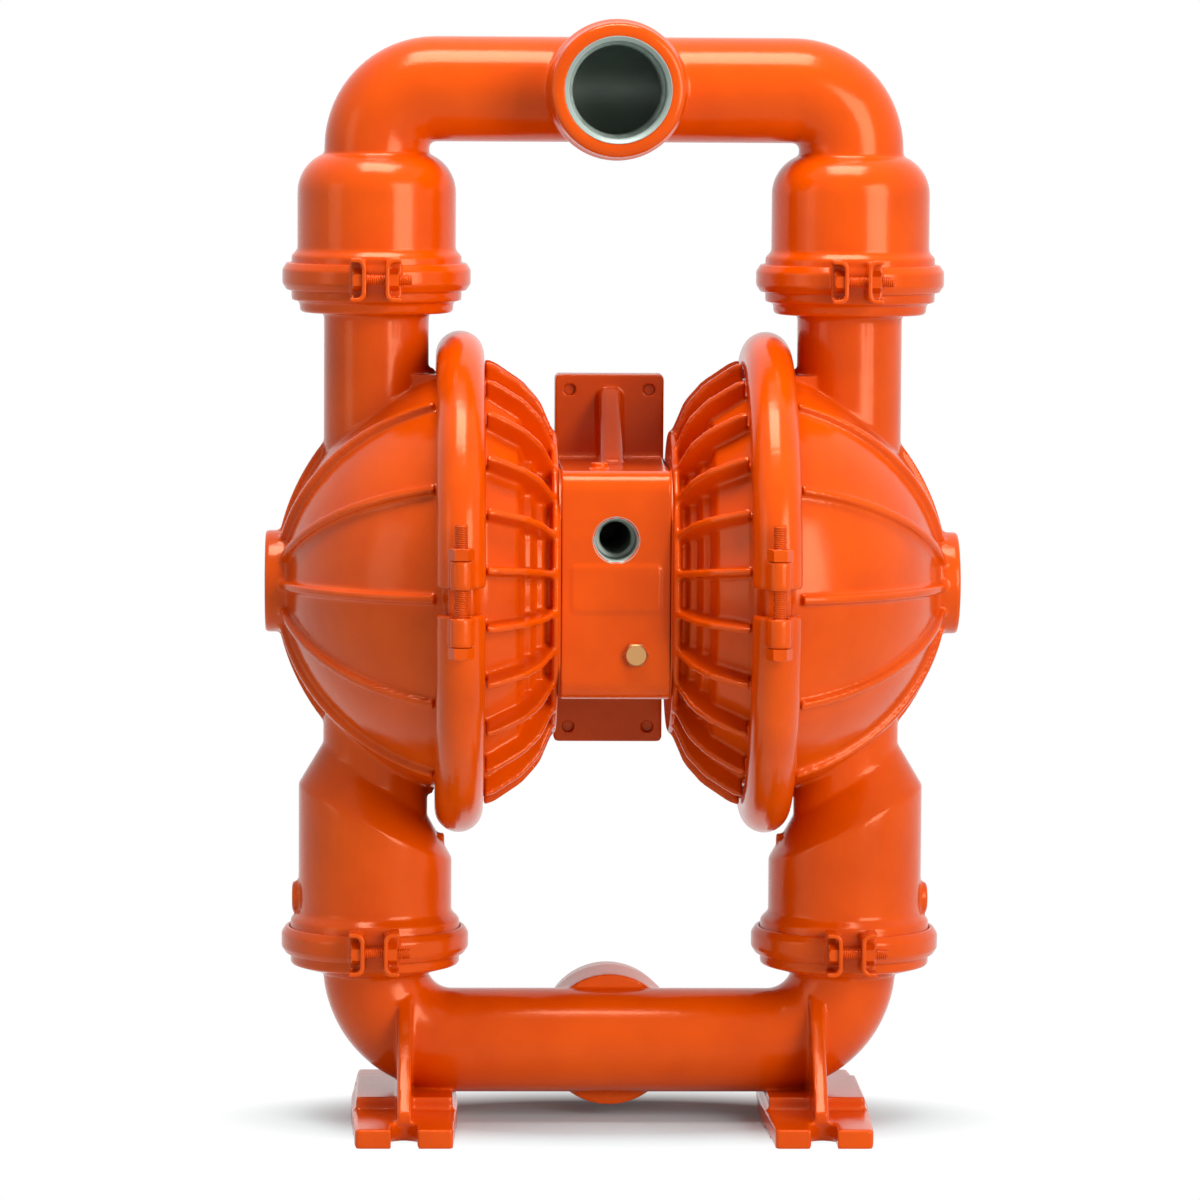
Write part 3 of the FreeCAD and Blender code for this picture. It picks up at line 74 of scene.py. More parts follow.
def newMaterial(name):
    material = bpy.data.materials.new(name)
    material.use_nodes = True
    tree = material.node_tree
    tree.nodes.clear()
    return material, tree


def finishMaterial(tree, shader):
    addNode(tree, "ShaderNodeOutputMaterial", {"Surface": shader.outputs[0]})


def newPiece(name, mesh):
    piece = bpy.data.objects.new(name, mesh)
    bpy.context.scene.collection.objects.link(piece)
    return piece


def settle(piece):
    # what the modifiers make becomes the piece's own mesh
    graph = bpy.context.evaluated_depsgraph_get()
    mesh = bpy.data.meshes.new_from_object(piece.evaluated_get(graph))
    piece.modifiers.clear()
    piece.data = mesh
    return piece


def faceCentres(mesh):
    spots = np.empty(len(mesh.polygons) * 3)
    mesh.polygons.foreach_get("center", spots)
    return spots.reshape(-1, 3)


enamelLook = {
    "colour": "#DA4C00",
    "deepColour": "#CC4300",
    "sheen": "#FFBC94",
    "roughness": 0.19,
    "ior": 1.5,
    "peelSize": 3.2 * mm,       # orange peel, drawn coarser than the real 1.5 mm so that it shows
    "peelHeight": 0.035 * mm,
    "skinSize": 11 * mm,        # soft unevenness of the sand casting under the paint
    "skinHeight": 0.14 * mm,
    "patchScale": 22,           # patches about 45 mm across, where the coat went on thicker or thinner
    "patchStart": 0.35,
    "patchEnd": 0.7,
}


def paintedIron(name, look):
    # Glossy enamel sprayed on sand cast iron: a clear soft highlight over a slightly wavy skin.
    material, tree = newMaterial(name)
    place = addNode(tree, "ShaderNodeTexCoord").outputs["Object"]
    peel = addNode(tree, "ShaderNodeTexNoise",
                   {"Vector": place, "Scale": 1 / look["peelSize"], "Detail": 1.5})
    skin = addNode(tree, "ShaderNodeTexNoise",
                   {"Vector": place, "Scale": 1 / look["skinSize"], "Detail": 3})
    skinBump = addNode(tree, "ShaderNodeBump",
                       {"Height": skin.outputs["Fac"], "Distance": look["skinHeight"], "Strength": 1})
    peelBump = addNode(tree, "ShaderNodeBump",
                       {"Height": peel.outputs["Fac"], "Distance": look["peelHeight"], "Strength": 1,
                        "Normal": skinBump.outputs["Normal"]})
    patches = addNode(tree, "ShaderNodeTexNoise", {"Vector": place, "Scale": look["patchScale"], "Detail": 4})
    blend = addNode(tree, "ShaderNodeMapRange",
                    {"Value": patches.outputs["Fac"], "From Min": look["patchStart"],
                     "From Max": look["patchEnd"]})
    colour = addNode(tree, "ShaderNodeMix",
                     {0: blend.outputs[0], 6: linearColour(look["colour"]),
                      7: linearColour(look["deepColour"])},
                     data_type="RGBA")
    finishMaterial(tree, addNode(tree, "ShaderNodeBsdfPrincipled", {
        "Base Color": colour.outputs[2], "Roughness": look["roughness"], "IOR": look["ior"],
        "Specular Tint": linearColour(look["sheen"]),
        "Normal": peelBump.outputs["Normal"]}))
    return material


glossSpread = 0.07              # the most that tool marks add to or take from the roughness of turned metal


def turnedMetal(name, colour, roughness, grooveSize, grooveHeight, metallic=1.0):
    # Metal with fine tool marks: a grainy, slightly broken highlight.
    material, tree = newMaterial(name)
    place = addNode(tree, "ShaderNodeTexCoord").outputs["Object"]
    marks = addNode(tree, "ShaderNodeTexNoise", {"Vector": place, "Scale": 1 / grooveSize, "Detail": 3})
    bump = addNode(tree, "ShaderNodeBump",
                   {"Height": marks.outputs["Fac"], "Distance": grooveHeight, "Strength": 1})
    gloss = addNode(tree, "ShaderNodeMapRange",
                    {"Value": marks.outputs["Fac"], "To Min": roughness - glossSpread,
                     "To Max": roughness + glossSpread})
    finishMaterial(tree, addNode(tree, "ShaderNodeBsdfPrincipled", {
        "Base Color": linearColour(colour), "Metallic": metallic, "Roughness": gloss.outputs[0],
        "Normal": bump.outputs["Normal"]}))
    return material


def mouldedPolymer(name, colour, roughness, grainSize, grainHeight):
    # Rubber or plastic from a mould: a dull even skin with a faint grain.
    material, tree = newMaterial(name)
    place = addNode(tree, "ShaderNodeTexCoord").outputs["Object"]
    grain = addNode(tree, "ShaderNodeTexNoise", {"Vector": place, "Scale": 1 / grainSize, "Detail": 2})
    bump = addNode(tree, "ShaderNodeBump",
                   {"Height": grain.outputs["Fac"], "Distance": grainHeight, "Strength": 1})
    finishMaterial(tree, addNode(tree, "ShaderNodeBsdfPrincipled", {
        "Base Color": linearColour(colour), "Roughness": roughness, "Normal": bump.outputs["Normal"]}))
    return material


orangeEnamel = paintedIron("orange enamel on cast iron", enamelLook)
machinedIron = turnedMetal("bare machined cast iron", "#98A59D", roughness=0.5, grooveSize=0.8 * mm,
                           grooveHeight=0.02 * mm, metallic=0.3)
boreIron = turnedMetal("dark oiled cast iron bore", "#98A398", roughness=0.5, grooveSize=3 * mm,
                       grooveHeight=0.08 * mm, metallic=0.3)
tanBrass = turnedMetal("cast brass plug with a dull skin", "#B98A58", roughness=0.4, grooveSize=0.6 * mm,
                       grooveHeight=0.02 * mm, metallic=0.8)
platedSteel = turnedMetal("zinc plated steel", "#B9BBB8", roughness=0.32, grooveSize=0.7 * mm,
                          grooveHeight=0.01 * mm)
groundSteel = turnedMetal("ground steel bar", "#C9CBCC", roughness=0.18, grooveSize=0.4 * mm,
                          grooveHeight=0.004 * mm)
aluminium = turnedMetal("turned aluminium", "#BFC1C2", roughness=0.33, grooveSize=0.5 * mm,
                        grooveHeight=0.01 * mm)
blackRubber = mouldedPolymer("moulded black rubber", "#1C1C1D", roughness=0.6, grainSize=1.2 * mm,
                             grainHeight=0.03 * mm)
bearingPlastic = mouldedPolymer("machined acetal plastic", "#D9D4C4", roughness=0.38, grainSize=0.9 * mm,
                                grainHeight=0.01 * mm)

slotMaterials = {
    "orange_paint": orangeEnamel,
    "ground_steel": groundSteel,
    "screw_steel": platedSteel,
    "tan_brass": tanBrass,
    "black_rubber": blackRubber,
    "seat_aluminium": aluminium,
    "piston_aluminium": aluminium,
    "bearing_plastic": bearingPlastic,
}
slotOfNode = {part["node"]: part["material_slot"] for part in frame["record"]["subparts"]}
for name, piece in frame["nodes"].items():
    for index in range(len(piece.data.materials)):
        piece.data.materials[index] = slotMaterials[slotOfNode[name]]
    if not piece.data.materials:
        piece.data.materials.append(slotMaterials[slotOfNode[name]])
print("materials made")


def weldedCopy(node, name):
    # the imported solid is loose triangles, so its copy is merged first
    mesh = frame["nodes"][node].data.copy()
    form = bmesh.new()
    form.from_mesh(mesh)
    bmesh.ops.remove_doubles(form, verts=form.verts, dist=weldReach)
    form.to_mesh(mesh)
    form.free()
    return newPiece(name, mesh)


def triangleCount(piece):
    return sum(len(face.vertices) - 2 for face in piece.data.polygons)


def cast(node, name, grain, rounds, triangles):
    # Grain is the size of the new mesh's cells, rounds is how far corners are softened.
    piece = weldedCopy(node, name)
    remesh = piece.modifiers.new("grain", "REMESH")
    remesh.mode = "VOXEL"
    remesh.voxel_size = grain
    soften = piece.modifiers.new("soften", "SMOOTH")
    soften.factor = 0.5
    soften.iterations = rounds
    settle(piece)
    count = triangleCount(piece)
    if count > triangles:
        thin = piece.modifiers.new("thin", "DECIMATE")
        thin.ratio = triangles / count
        settle(piece)
    piece.data.materials.clear()
    piece.data.materials.append(orangeEnamel)
    piece.data.shade_smooth()
    print(name, count, "->", triangleCount(piece), "triangles")
    return piece


def mirrorCopy(piece, name):
    mesh = piece.data.copy()
    mesh.transform(Matrix.Scale(-1, 4, (1, 0, 0)))
    mesh.flip_normals()
    return newPiece(name, mesh)


def boxesOf(node):
    # the near and far corner of every solid in a node, such as each bolt of a set
    form = bmesh.new()
    form.from_mesh(frame["nodes"][node].data)
    bmesh.ops.remove_doubles(form, verts=form.verts, dist=weldReach)
    waiting = set(form.verts)
    found = []
    while waiting:
        front = [waiting.pop()]
        spots = []
        while front:
            vert = front.pop()
            spots.append(vert.co.copy())
            for edge in vert.link_edges:
                other = edge.other_vert(vert)
                if other in waiting:
                    waiting.discard(other)
                    front.append(other)
        spots = np.array(spots)
        found.append((Vector(spots.min(0)), Vector(spots.max(0))))
    form.free()
    return found


def paintWhere(piece, material, chosen):
    # faces picked by where their centres are get another material
    piece.data.materials.append(material)
    slot = len(piece.data.materials) - 1
    indices = np.zeros(len(piece.data.polygons), np.int32)
    piece.data.polygons.foreach_get("material_index", indices)
    indices[chosen(faceCentres(piece.data))] = slot
    piece.data.polygons.foreach_set("material_index", indices)
    piece.data.update()


def dressed(piece, node, body="root"):
    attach(piece, body)
    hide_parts(node)


castings = {
    "grain": 1.15 * mm,
    "rounds": 5,
    "triangles": 130000,
    "blockGrain": 1.0 * mm,
    "blockRounds": 4,
    "blockTriangles": 90000,
}
mounts = {mount["name"]: Vector(mount["pos_m"]) for mount in frame["record"]["mounts"]}
upperPipeZ = mounts["discharge_port"].z
lowerPipeZ = mounts["inlet_port"].z
exhaustZ = mounts["exhaust_port"].z

chamberRight = cast("liquid_chamber_right", "chamberCastingRight", castings["grain"], castings["rounds"],
                    castings["triangles"])
chamberLeft = mirrorCopy(chamberRight, "chamberCastingLeft")
dishRight = cast("air_chamber_right", "dishCastingRight", castings["grain"], castings["rounds"],
                 castings["triangles"])
dishLeft = mirrorCopy(dishRight, "dishCastingLeft")
upperPipe = cast("discharge_manifold", "upperPipeCasting", castings["grain"], castings["rounds"],
                 castings["triangles"])
lowerPipe = cast("inlet_manifold", "lowerPipeCasting", castings["grain"], castings["rounds"],
                 castings["triangles"])
centreCasting = cast("center_block", "centreCasting", castings["blockGrain"], castings["blockRounds"],
                     castings["blockTriangles"])

portSizes = {
    "threadRadius": 28.6 * mm,
    "threadDepth": 26 * mm,
    "threadPitch": 2.209 * mm,
    "exhaustRadius": 12.4 * mm,
    "exhaustDepth": 22 * mm,
    "exhaustPitch": 1.814 * mm,
    "pipeMiddle": 14 * mm,      # face of a pipe port to the middle of its thread
    "airMiddle": 9 * mm,        # the same for the air inlet
}
outletFaceY = mounts["discharge_port"].y - portSizes["pipeMiddle"]
inletFaceY = mounts["inlet_port"].y + portSizes["pipeMiddle"]
blockFaceY = mounts["exhaust_port"].y - portSizes["exhaustDepth"] / 2
airFaceY = mounts["air_inlet"].y + portSizes["airMiddle"]
# where the paint ends inside the ports: past the thread's radius, and depths from the face
bareMetal = {
    "rim": 1.4 * mm,
    "start": 0.3 * mm,
    "end": 27.5 * mm,
    "throatRadius": 27.4 * mm,
    "throatStart": 25 * mm,
    "throatEnd": 60 * mm,
    "pipeRadius": 27 * mm,
    "pipeReach": 100 * mm,
    "exhaustRim": 0.8 * mm,
    "exhaustStart": 0.4 * mm,
    "exhaustDark": 13 * mm,
}


def portPaint(piece, centreZ, faceY, direction):
    # direction is -1 for a port that faces the front
    def bore(spots):
        reach = np.hypot(spots[:, 0], spots[:, 2] - centreZ)
        depth = (faceY - spots[:, 1]) * direction
        inside = reach < portSizes["threadRadius"] + bareMetal["rim"]
        return inside & (depth > bareMetal["start"]) & (depth < bareMetal["end"])

    def deep(spots):
        depth = (faceY - spots[:, 1]) * direction
        throat = np.hypot(spots[:, 0], spots[:, 2] - centreZ) < bareMetal["throatRadius"]
        throat &= (depth > bareMetal["throatStart"]) & (depth < bareMetal["throatEnd"])
        pipe = np.hypot(spots[:, 1], spots[:, 2] - centreZ) < bareMetal["pipeRadius"]
        pipe &= np.abs(spots[:, 0]) < bareMetal["pipeReach"]
        return pipe | throat

    paintWhere(piece, machinedIron, bore)
    paintWhere(piece, boreIron, deep)


portPaint(upperPipe, upperPipeZ, outletFaceY, -1)
portPaint(lowerPipe, lowerPipeZ, inletFaceY, 1)


def exhaustBore(spots):
    reach = np.hypot(spots[:, 0], spots[:, 2] - exhaustZ)
    inside = reach < portSizes["exhaustRadius"] + bareMetal["exhaustRim"]
    return inside & (spots[:, 1] > blockFaceY + bareMetal["exhaustStart"])


def exhaustEnd(spots):
    return exhaustBore(spots) & (spots[:, 1] > blockFaceY + bareMetal["exhaustDark"])


paintWhere(centreCasting, machinedIron, exhaustBore)
paintWhere(centreCasting, boreIron, exhaustEnd)

for piece, node in ((chamberRight, "liquid_chamber_right"), (chamberLeft, "liquid_chamber_left"),
                    (dishRight, "air_chamber_right"), (dishLeft, "air_chamber_left"),
                    (upperPipe, "discharge_manifold"), (lowerPipe, "inlet_manifold"),
                    (centreCasting, "center_block")):
    dressed(piece, node)
print("castings done")

# The wide clamp bands are cast and the narrow ones are pressed steel. Both are painted with the pump.
clampLook = {
    "bandGrain": 1.2 * mm,
    "bandRounds": 4,
    "bandTriangles": 60000,
    "pressingGrain": 0.62 * mm,
    "pressingRounds": 3,
    "pressingTriangles": 40000,
}
for level in ("upper", "lower"):
    right = cast("large_clamp_" + level + "_right", "bandRight" + level.capitalize(), clampLook["bandGrain"],
                 clampLook["bandRounds"], clampLook["bandTriangles"])
    left = mirrorCopy(right, "bandLeft" + level.capitalize())
    dressed(right, "large_clamp_" + level + "_right")
    dressed(left, "large_clamp_" + level + "_left")
for level in ("inlet", "outlet"):
    for side in ("left", "right"):
        for half in ("a", "b"):
            node = level + "_" + side + "_clamp_" + half
            pressing = cast(node, level + side.capitalize() + "Pressing" + half.upper(),
                            clampLook["pressingGrain"], clampLook["pressingRounds"],
                            clampLook["pressingTriangles"])
            dressed(pressing, node)
print("clamps done")


def newTree(name, inputs):
    tree = bpy.data.node_groups.new(name, "GeometryNodeTree")
    tree.interface.new_socket("Geometry", in_out="INPUT", socket_type="NodeSocketGeometry")
    for label, kind in inputs:
        tree.interface.new_socket(label, in_out="INPUT", socket_type=kind)
    tree.interface.new_socket("Geometry", in_out="OUTPUT", socket_type="NodeSocketGeometry")
    return tree, tree.nodes.new("NodeGroupInput")


def endTree(tree, geometry, material):
    real = addNode(tree, "GeometryNodeRealizeInstances", {"Geometry": geometry})
    coated = addNode(tree, "GeometryNodeSetMaterial", {"Geometry": real.outputs[0], "Material": material})
    out = tree.nodes.new("NodeGroupOutput")
    tree.links.new(coated.outputs[0], out.inputs[0])


def runTree(name, tree, mesh, values):
    piece = newPiece(name, mesh)
    modifier = piece.modifiers.new(name, "NODES")
    modifier.node_group = tree
    for item in tree.interface.items_tree:
        if item.in_out == "INPUT" and item.name in values:
            modifier[item.identifier] = values[item.name]
    return settle(piece)


# the steps of one turn, and in pitches the way from a port's face to the first ridge and the ridges' radii
threadLook = {
    "steps": 40,
    "portStart": 1.2,
    "portRidge": 0.46,
    "boltRidge": 0.42,
}


def helix(tree, radius, turns, length, ridge):
    # a ridge of diamond section that winds up the Z axis
    spiral = addNode(tree, "GeometryNodeCurveSpiral",
                     {"Resolution": threadLook["steps"], "Rotations": turns, "Start Radius": radius,
                      "End Radius": radius, "Height": length})
    upright = addNode(tree, "GeometryNodeSetCurveNormal", {"Curve": spiral.outputs[0]}, mode="Z_UP")
    section = addNode(tree, "GeometryNodeCurvePrimitiveCircle", {"Resolution": 4, "Radius": ridge})
    return addNode(tree, "GeometryNodeCurveToMesh",
                   {"Curve": upright.outputs[0], "Profile Curve": section.outputs[0], "Fill Caps": True})


def threadTree(material):
    tree, given = newTree("pipe thread", [
        ("Radius", "NodeSocketFloat"), ("Turns", "NodeSocketFloat"), ("Length", "NodeSocketFloat"),
        ("Ridge", "NodeSocketFloat"), ("Turn", "NodeSocketVector"), ("Place", "NodeSocketVector")])
    ridge = helix(tree, given.outputs["Radius"], given.outputs["Turns"], given.outputs["Length"],
                  given.outputs["Ridge"])
    placed = addNode(tree, "GeometryNodeTransform",
                     {"Geometry": ridge.outputs[0], "Rotation": given.outputs["Turn"],
                      "Translation": given.outputs["Place"]})
    endTree(tree, placed.outputs[0], material)
    return tree


# The section's points are millimetres out from the thread and into the port.
lipLook = {
    "section": ((-0.15, 4), (-0.15, 1.5), (1.6, -0.12), (1.9, -0.12), (2.1, 0.4), (2.1, 4)),
    "steps": 160,
    "crease": math.radians(20),
}


def turnedLip(name, radius, face, inward, share):
    # the tap's chamfer at the mouth of a port, a bright ring with a crisp edge on the rough casting
    rows = len(lipLook["section"])
    points = []
    faces = []
    for step in range(lipLook["steps"]):
        angle = 2 * math.pi * step / lipLook["steps"]
        here = step * rows
        there = (step + 1) % lipLook["steps"] * rows
        for row, (out, deep) in enumerate(lipLook["section"]):
            reach = radius + out * share * mm
            points.append((face[0] + reach * math.cos(angle), face[1] + inward * deep * share * mm,
                           face[2] + reach * math.sin(angle)))
            beside = (row + 1) % rows
            faces.append((here + row, there + row, there + beside, here + beside))
    mesh = bpy.data.meshes.new(name)
    mesh.from_pydata(points, [], faces)
    form = bmesh.new()
    form.from_mesh(mesh)
    bmesh.ops.recalc_face_normals(form, faces=form.faces)
    form.to_mesh(mesh)
    form.free()
    mesh.shade_smooth()
    mesh.set_sharp_from_angle(angle=lipLook["crease"])
    mesh.materials.append(machinedIron)
    return newPiece(name, mesh)


# Share is the size of a port's lip against that of the pipe ports. Inward is the way into the port along Y.
ports = {
    "outlet": {"size": "thread", "share": 1, "face": (0, outletFaceY, upperPipeZ), "inward": 1,
               "node": "discharge_manifold"},
    "inlet": {"size": "thread", "share": 1, "face": (0, inletFaceY, lowerPipeZ), "inward": -1,
              "node": "inlet_manifold"},
    "exhaust": {"size": "exhaust", "share": 0.6, "face": (0, blockFaceY, exhaustZ), "inward": 1,
                "node": "center_block"},
    "airInlet": {"size": "exhaust", "share": 0.6, "face": (0, airFaceY, mounts["air_inlet"].z), "inward": -1,
                 "node": "air_valve_body"},
}
portThread = threadTree(machinedIron)
for name, port in ports.items():
    node = port["node"]
    radius = portSizes[port["size"] + "Radius"]
    pitch = portSizes[port["size"] + "Pitch"]
    length = portSizes[port["size"] + "Depth"] - 2 * pitch
    start = Vector(port["face"]) + Vector((0, port["inward"] * threadLook["portStart"] * pitch, 0))
    thread = runTree(name + "Thread", portThread, bpy.data.meshes.new(name), {
        "Radius": radius, "Turns": length / pitch, "Length": length, "Ridge": threadLook["portRidge"] * pitch,
        "Turn": (-port["inward"] * math.pi / 2, 0, 0), "Place": start})
    lip = turnedLip(name + "Lip", radius, port["face"], port["inward"], port["share"])
    for piece in (thread, lip):
        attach(piece, "root")
print("threads done")


hexLook = {
    "crown": 0.47,              # radius of the cone's top, as a share of the width across the flats
    "coneHeight": 1.04,         # as a share of the bar's, because faces in one plane upset the cut
    "drillHeight": 3,           # as a share of the nut's
    "roundSides": 48,
    "shankSides": 32,
}


def hexBlank(tree, flats, height):
    # a hexagon from a bar that stands on its origin, with the corners of its far end turned away
    corner = addNode(tree, "ShaderNodeMath", {0: flats, 1: 1 / math.sqrt(3)}, operation="MULTIPLY")
    wide = addNode(tree, "ShaderNodeMath", {0: corner.outputs[0], 1: height}, operation="ADD")
    crown = addNode(tree, "ShaderNodeMath", {0: flats, 1: hexLook["crown"]}, operation="MULTIPLY")
    tall = addNode(tree, "ShaderNodeMath", {0: height, 1: hexLook["coneHeight"]}, operation="MULTIPLY")
    bar = addNode(tree, "GeometryNodeMeshCylinder",
                  {"Vertices": 6, "Radius": corner.outputs[0], "Depth": height})
    cone = addNode(tree, "GeometryNodeMeshCone",
                   {"Vertices": hexLook["roundSides"], "Radius Top": crown.outputs[0],
                    "Radius Bottom": wide.outputs[0], "Depth": tall.outputs[0]})
    # A cone stands on its base but a cylinder is centred, so the cone comes down by half its own height.
    down = addNode(tree, "ShaderNodeMath", {0: tall.outputs[0], 1: -0.5}, operation="MULTIPLY")
    drop = addNode(tree, "ShaderNodeCombineXYZ", {"Z": down.outputs[0]})
    cone = addNode(tree, "GeometryNodeTransform",
                   {"Geometry": cone.outputs[0], "Translation": drop.outputs[0]})
    blank = addNode(tree, "GeometryNodeMeshBoolean", {"Mesh 2": bar.outputs[0]}, operation="INTERSECT")
    tree.links.new(cone.outputs[0], blank.inputs["Mesh 2"])
    middle = addNode(tree, "ShaderNodeMath", {0: height, 1: 0.5}, operation="MULTIPLY")
    lift = addNode(tree, "ShaderNodeCombineXYZ", {"Z": middle.outputs[0]})
    return addNode(tree, "GeometryNodeTransform",
                   {"Geometry": blank.outputs[0], "Translation": lift.outputs[0]})


def spread(tree, given, parts, material):
    # the finished fastener goes on every point of the mesh that the tree is given
    whole = addNode(tree, "GeometryNodeJoinGeometry")
    for part in parts:
        tree.links.new(part.outputs[0], whole.inputs[0])
    copies = addNode(tree, "GeometryNodeInstanceOnPoints",
                     {"Points": given.outputs["Geometry"], "Instance": whole.outputs[0],
                      "Rotation": given.outputs["Turn"]})
    endTree(tree, copies.outputs[0], material)


def boltTree(material):
    # Z runs from the head along the shank, and the origin is under the head
    tree, given = newTree("hexagon bolt", [
        ("Flats", "NodeSocketFloat"), ("Head", "NodeSocketFloat"), ("Radius", "NodeSocketFloat"),
        ("Length", "NodeSocketFloat"), ("Turns", "NodeSocketFloat"), ("Ridge", "NodeSocketFloat"),
        ("Turn", "NodeSocketVector")])
    head = hexBlank(tree, given.outputs["Flats"], given.outputs["Head"])
    over = addNode(tree, "GeometryNodeTransform", {"Geometry": head.outputs[0], "Rotation": (math.pi, 0, 0)})
    core = addNode(tree, "ShaderNodeMath", {0: given.outputs["Radius"], 1: given.outputs["Ridge"]},
                   operation="SUBTRACT")
    half = addNode(tree, "ShaderNodeMath", {0: given.outputs["Length"], 1: 0.5}, operation="MULTIPLY")
    lift = addNode(tree, "ShaderNodeCombineXYZ", {"Z": half.outputs[0]})
    shank = addNode(tree, "GeometryNodeMeshCylinder",
                    {"Vertices": hexLook["shankSides"], "Radius": core.outputs[0],
                     "Depth": given.outputs["Length"]})
    shank = addNode(tree, "GeometryNodeTransform",
                    {"Geometry": shank.outputs[0], "Translation": lift.outputs[0]})
    wound = addNode(tree, "ShaderNodeMath", {0: given.outputs["Length"], 1: given.outputs["Ridge"]},
                    operation="SUBTRACT")
    thread = helix(tree, core.outputs[0], given.outputs["Turns"], wound.outputs[0], given.outputs["Ridge"])
    spread(tree, given, (over, shank, thread), material)
    return tree


def nutTree(material):
    tree, given = newTree("hexagon nut", [
        ("Flats", "NodeSocketFloat"), ("Height", "NodeSocketFloat"), ("Radius", "NodeSocketFloat"),
        ("Turn", "NodeSocketVector")])
    blank = hexBlank(tree, given.outputs["Flats"], given.outputs["Height"])
    long = addNode(tree, "ShaderNodeMath", {0: given.outputs["Height"], 1: hexLook["drillHeight"]},
                   operation="MULTIPLY")
    drill = addNode(tree, "GeometryNodeMeshCylinder",
                    {"Vertices": hexLook["roundSides"], "Radius": given.outputs["Radius"],
                     "Depth": long.outputs[0]})
    nut = addNode(tree, "GeometryNodeMeshBoolean", {"Mesh 1": blank.outputs[0], "Mesh 2": drill.outputs[0]},
                  operation="DIFFERENCE")
    spread(tree, given, (nut,), material)
    return tree


def pointMesh(name, spots):
    mesh = bpy.data.meshes.new(name)
    mesh.from_pydata([tuple(spot) for spot in spots], [], [])
    return mesh


# Sizes across the flats, heights and radii of the CAD fasteners. The pitch is that of a real M8 or near it.
fasteners = {
    "small": {"flats": 11 * mm, "height": 5.5 * mm, "radius": 3.2 * mm, "pitch": 1.2 * mm,
              "turn": (0, math.pi / 2, 0), "along": 0},
    "large": {"flats": 13 * mm, "height": 6.8 * mm, "radius": 4 * mm, "pitch": 1.25 * mm,
              "turn": (0, 0, 0), "along": 2},
}
nutSlack = 0.1 * mm
hexBolt = boltTree(orangeEnamel)
hexNut = nutTree(orangeEnamel)
for size, sort in fasteners.items():
    along = sort["along"]
    across = [axis for axis in range(3) if axis != along]
    starts = {"bolts": [], "nuts": []}
    lengths = []
    for kind in starts:
        for low, high in boxesOf(size + "_clamp_" + kind):
            spot = Vector(low)
            for axis in across:
                spot[axis] = (low[axis] + high[axis]) / 2
            if kind == "bolts":
                spot[along] += sort["height"]
                lengths.append(high[along] - low[along] - sort["height"])
            starts[kind].append(spot)
    ridge = threadLook["boltRidge"] * sort["pitch"]
    length = min(lengths)
    bolts = runTree(size + "Bolts", hexBolt, pointMesh(size + "Bolts", starts["bolts"]), {
        "Flats": sort["flats"], "Head": sort["height"], "Radius": sort["radius"], "Length": length,
        "Turns": (length - ridge) / sort["pitch"], "Ridge": ridge, "Turn": sort["turn"]})
    nuts = runTree(size + "Nuts", hexNut, pointMesh(size + "Nuts", starts["nuts"]), {
        "Flats": sort["flats"], "Height": sort["height"], "Radius": sort["radius"] + nutSlack,
        "Turn": sort["turn"]})
    dressed(bolts, size + "_clamp_bolts")
    dressed(nuts, size + "_clamp_nuts")
    print(size, "bolts and nuts:", len(starts["bolts"]), len(starts["nuts"]), "length", round(length / mm, 2))


sprayed = {
    "gasketSkin": 0.35 * mm,    # each way from the middle of a gasket, which leaves out its two faces
    "screwEndY": 66 * mm,
}


def gasketRim(node):
    # the edges of a gasket caught the paint when the pump was sprayed
    low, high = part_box(node)
    thin = min(range(3), key=lambda axis: high[axis] - low[axis])

    def rim(spots):
        return np.abs(spots[:, thin] - (low[thin] + high[thin]) / 2) < sprayed["gasketSkin"]

    return rim


def screwTips(spots):
    # the ends that show in the corner holes of the mounting plate
    return spots[:, 1] < sprayed["screwEndY"]


for node, chosen in (("air_valve_gasket", gasketRim("air_valve_gasket")),
                     ("chamber_gasket_left", gasketRim("chamber_gasket_left")),
                     ("chamber_gasket_right", gasketRim("chamber_gasket_right")),
                     ("air_valve_screws", screwTips)):
    words = node.split("_")
    piece = weldedCopy(node, words[0] + "".join(word.capitalize() for word in words[1:]) + "Painted")
    paintWhere(piece, orangeEnamel, chosen)
    dressed(piece, node)
print("painted edges done")


def seenRay(tree):
    # 1 for a ray that the camera sees, also through a shiny or clear surface, and 0 for a lighting ray
    path = addNode(tree, "ShaderNodeLightPath")
    ray = addNode(tree, "ShaderNodeMath",
                  {0: path.outputs["Is Camera Ray"], 1: path.outputs["Is Glossy Ray"]}, operation="MAXIMUM")
    return addNode(tree, "ShaderNodeMath", {0: ray.outputs[0], 1: path.outputs["Is Transmission Ray"]},
                   operation="MAXIMUM").outputs[0]


# The paper has a faint blue, which takes the orange of the bounced light out of the shadow. The shadow
# fades into plain white between the two reaches, in metres that are shorter from front to back.
roomLook = {
    "floorSize": 12,
    "floorColour": "#C8D9DC",
    "floorLift": 0.02,
    "fadeSqueeze": (1, 2.2, 1),
    "fadeStart": 0.12,
    "fadeEnd": 0.23,
    "worldColour": "#FFFFFF",
    "worldLevel": 0.2,
}
floorMesh = bpy.data.meshes.new("floor")
half = roomLook["floorSize"] / 2
floorMesh.from_pydata([(-half, -half, 0), (half, -half, 0), (half, half, 0), (-half, half, 0)], [],
                      [(0, 1, 2, 3)])
floor = newPiece("floor", floorMesh)
floorMaterial, tree = newMaterial("matt white paper sweep")
place = addNode(tree, "ShaderNodeTexCoord").outputs["Object"]
squeezed = addNode(tree, "ShaderNodeVectorMath", {0: place, 1: roomLook["fadeSqueeze"]}, operation="MULTIPLY")
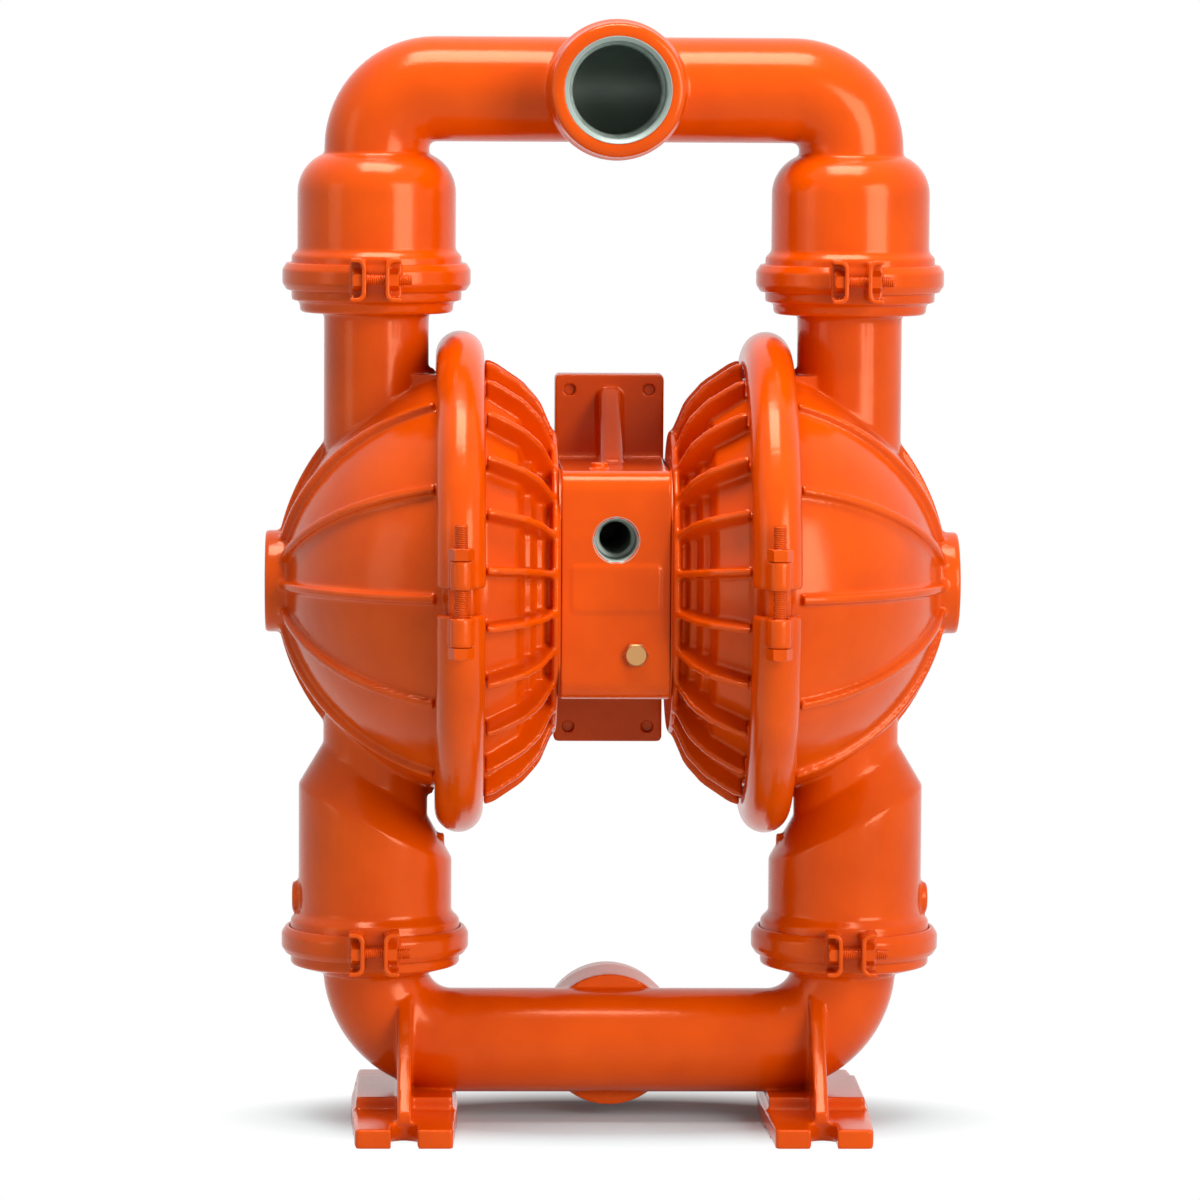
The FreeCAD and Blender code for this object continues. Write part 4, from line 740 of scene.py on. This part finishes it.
reach = addNode(tree, "ShaderNodeVectorMath", {0: squeezed.outputs[0]}, operation="LENGTH")
far = addNode(tree, "ShaderNodeMapRange",
              {"Value": reach.outputs["Value"], "From Min": roomLook["fadeStart"],
               "From Max": roomLook["fadeEnd"]})
paper = addNode(tree, "ShaderNodeBsdfDiffuse", {"Color": linearColour(roomLook["floorColour"])})
glow = addNode(tree, "ShaderNodeEmission", {"Color": (1, 1, 1, 1), "Strength": 1})
lift = addNode(tree, "ShaderNodeEmission", {"Color": (1, 1, 1, 1), "Strength": roomLook["floorLift"]})
near = addNode(tree, "ShaderNodeAddShader", {0: paper.outputs[0], 1: lift.outputs[0]})
shown = addNode(tree, "ShaderNodeMixShader", {0: far.outputs[0], 1: near.outputs[0], 2: glow.outputs[0]})
finishMaterial(tree, addNode(tree, "ShaderNodeMixShader",
                             {0: seenRay(tree), 1: paper.outputs[0], 2: shown.outputs[0]}))
floorMesh.materials.append(floorMaterial)

world = bpy.data.worlds.new("white room")
bpy.context.scene.world = world
world.use_nodes = True
tree = world.node_tree
tree.nodes.clear()
level = addNode(tree, "ShaderNodeMapRange",
                {"Value": seenRay(tree), "To Min": roomLook["worldLevel"], "To Max": 1})
sky = addNode(tree, "ShaderNodeBackground",
              {"Color": linearColour(roomLook["worldColour"]), "Strength": level.outputs[0]})
addNode(tree, "ShaderNodeOutputWorld", {"Surface": sky.outputs[0]})

# The tall box at the front right is the main light, and the left one only lifts the shaded side.
pumpMiddle = Vector((0, 0, 0.3))
softBoxes = {
    "tall": {"place": (1.5, -1.95, 0.95), "size": (1.3, 1.6), "watts": 53},
    "overhead": {"place": (-0.05, -0.42, 2.3), "size": (1.2, 0.9), "watts": 50},
    "left": {"place": (-2.2, -1.1, 0.8), "size": (0.8, 1.5), "watts": 5},
}
for name, box in softBoxes.items():
    lamp = bpy.data.lights.new(name, "AREA")
    lamp.shape = "RECTANGLE"
    lamp.size, lamp.size_y = box["size"]
    lamp.energy = box["watts"]
    holder = newPiece(name, lamp)
    holder.location = box["place"]
    holder.rotation_euler = (pumpMiddle - Vector(box["place"])).to_track_quat("-Z", "Y").to_euler()

view = {
    "place": (-0.1168, -3.49, 0.6103),
    "aim": (-0.0068, 0, 0.3050),
    "lens": 180.3,
    "roll": math.radians(0.33),
}
camera = newPiece("camera", bpy.data.cameras.new("camera"))
camera.data.sensor_width = 36
camera.data.lens = view["lens"]
camera.location = view["place"]
facing = (Vector(view["aim"]) - Vector(view["place"])).to_track_quat("-Z", "Y").to_matrix()
camera.rotation_euler = (facing @ Matrix.Rotation(view["roll"], 3, "Z")).to_euler()
bpy.context.scene.camera = camera
bpy.context.scene.view_settings.view_transform = "Standard"
print("room done")
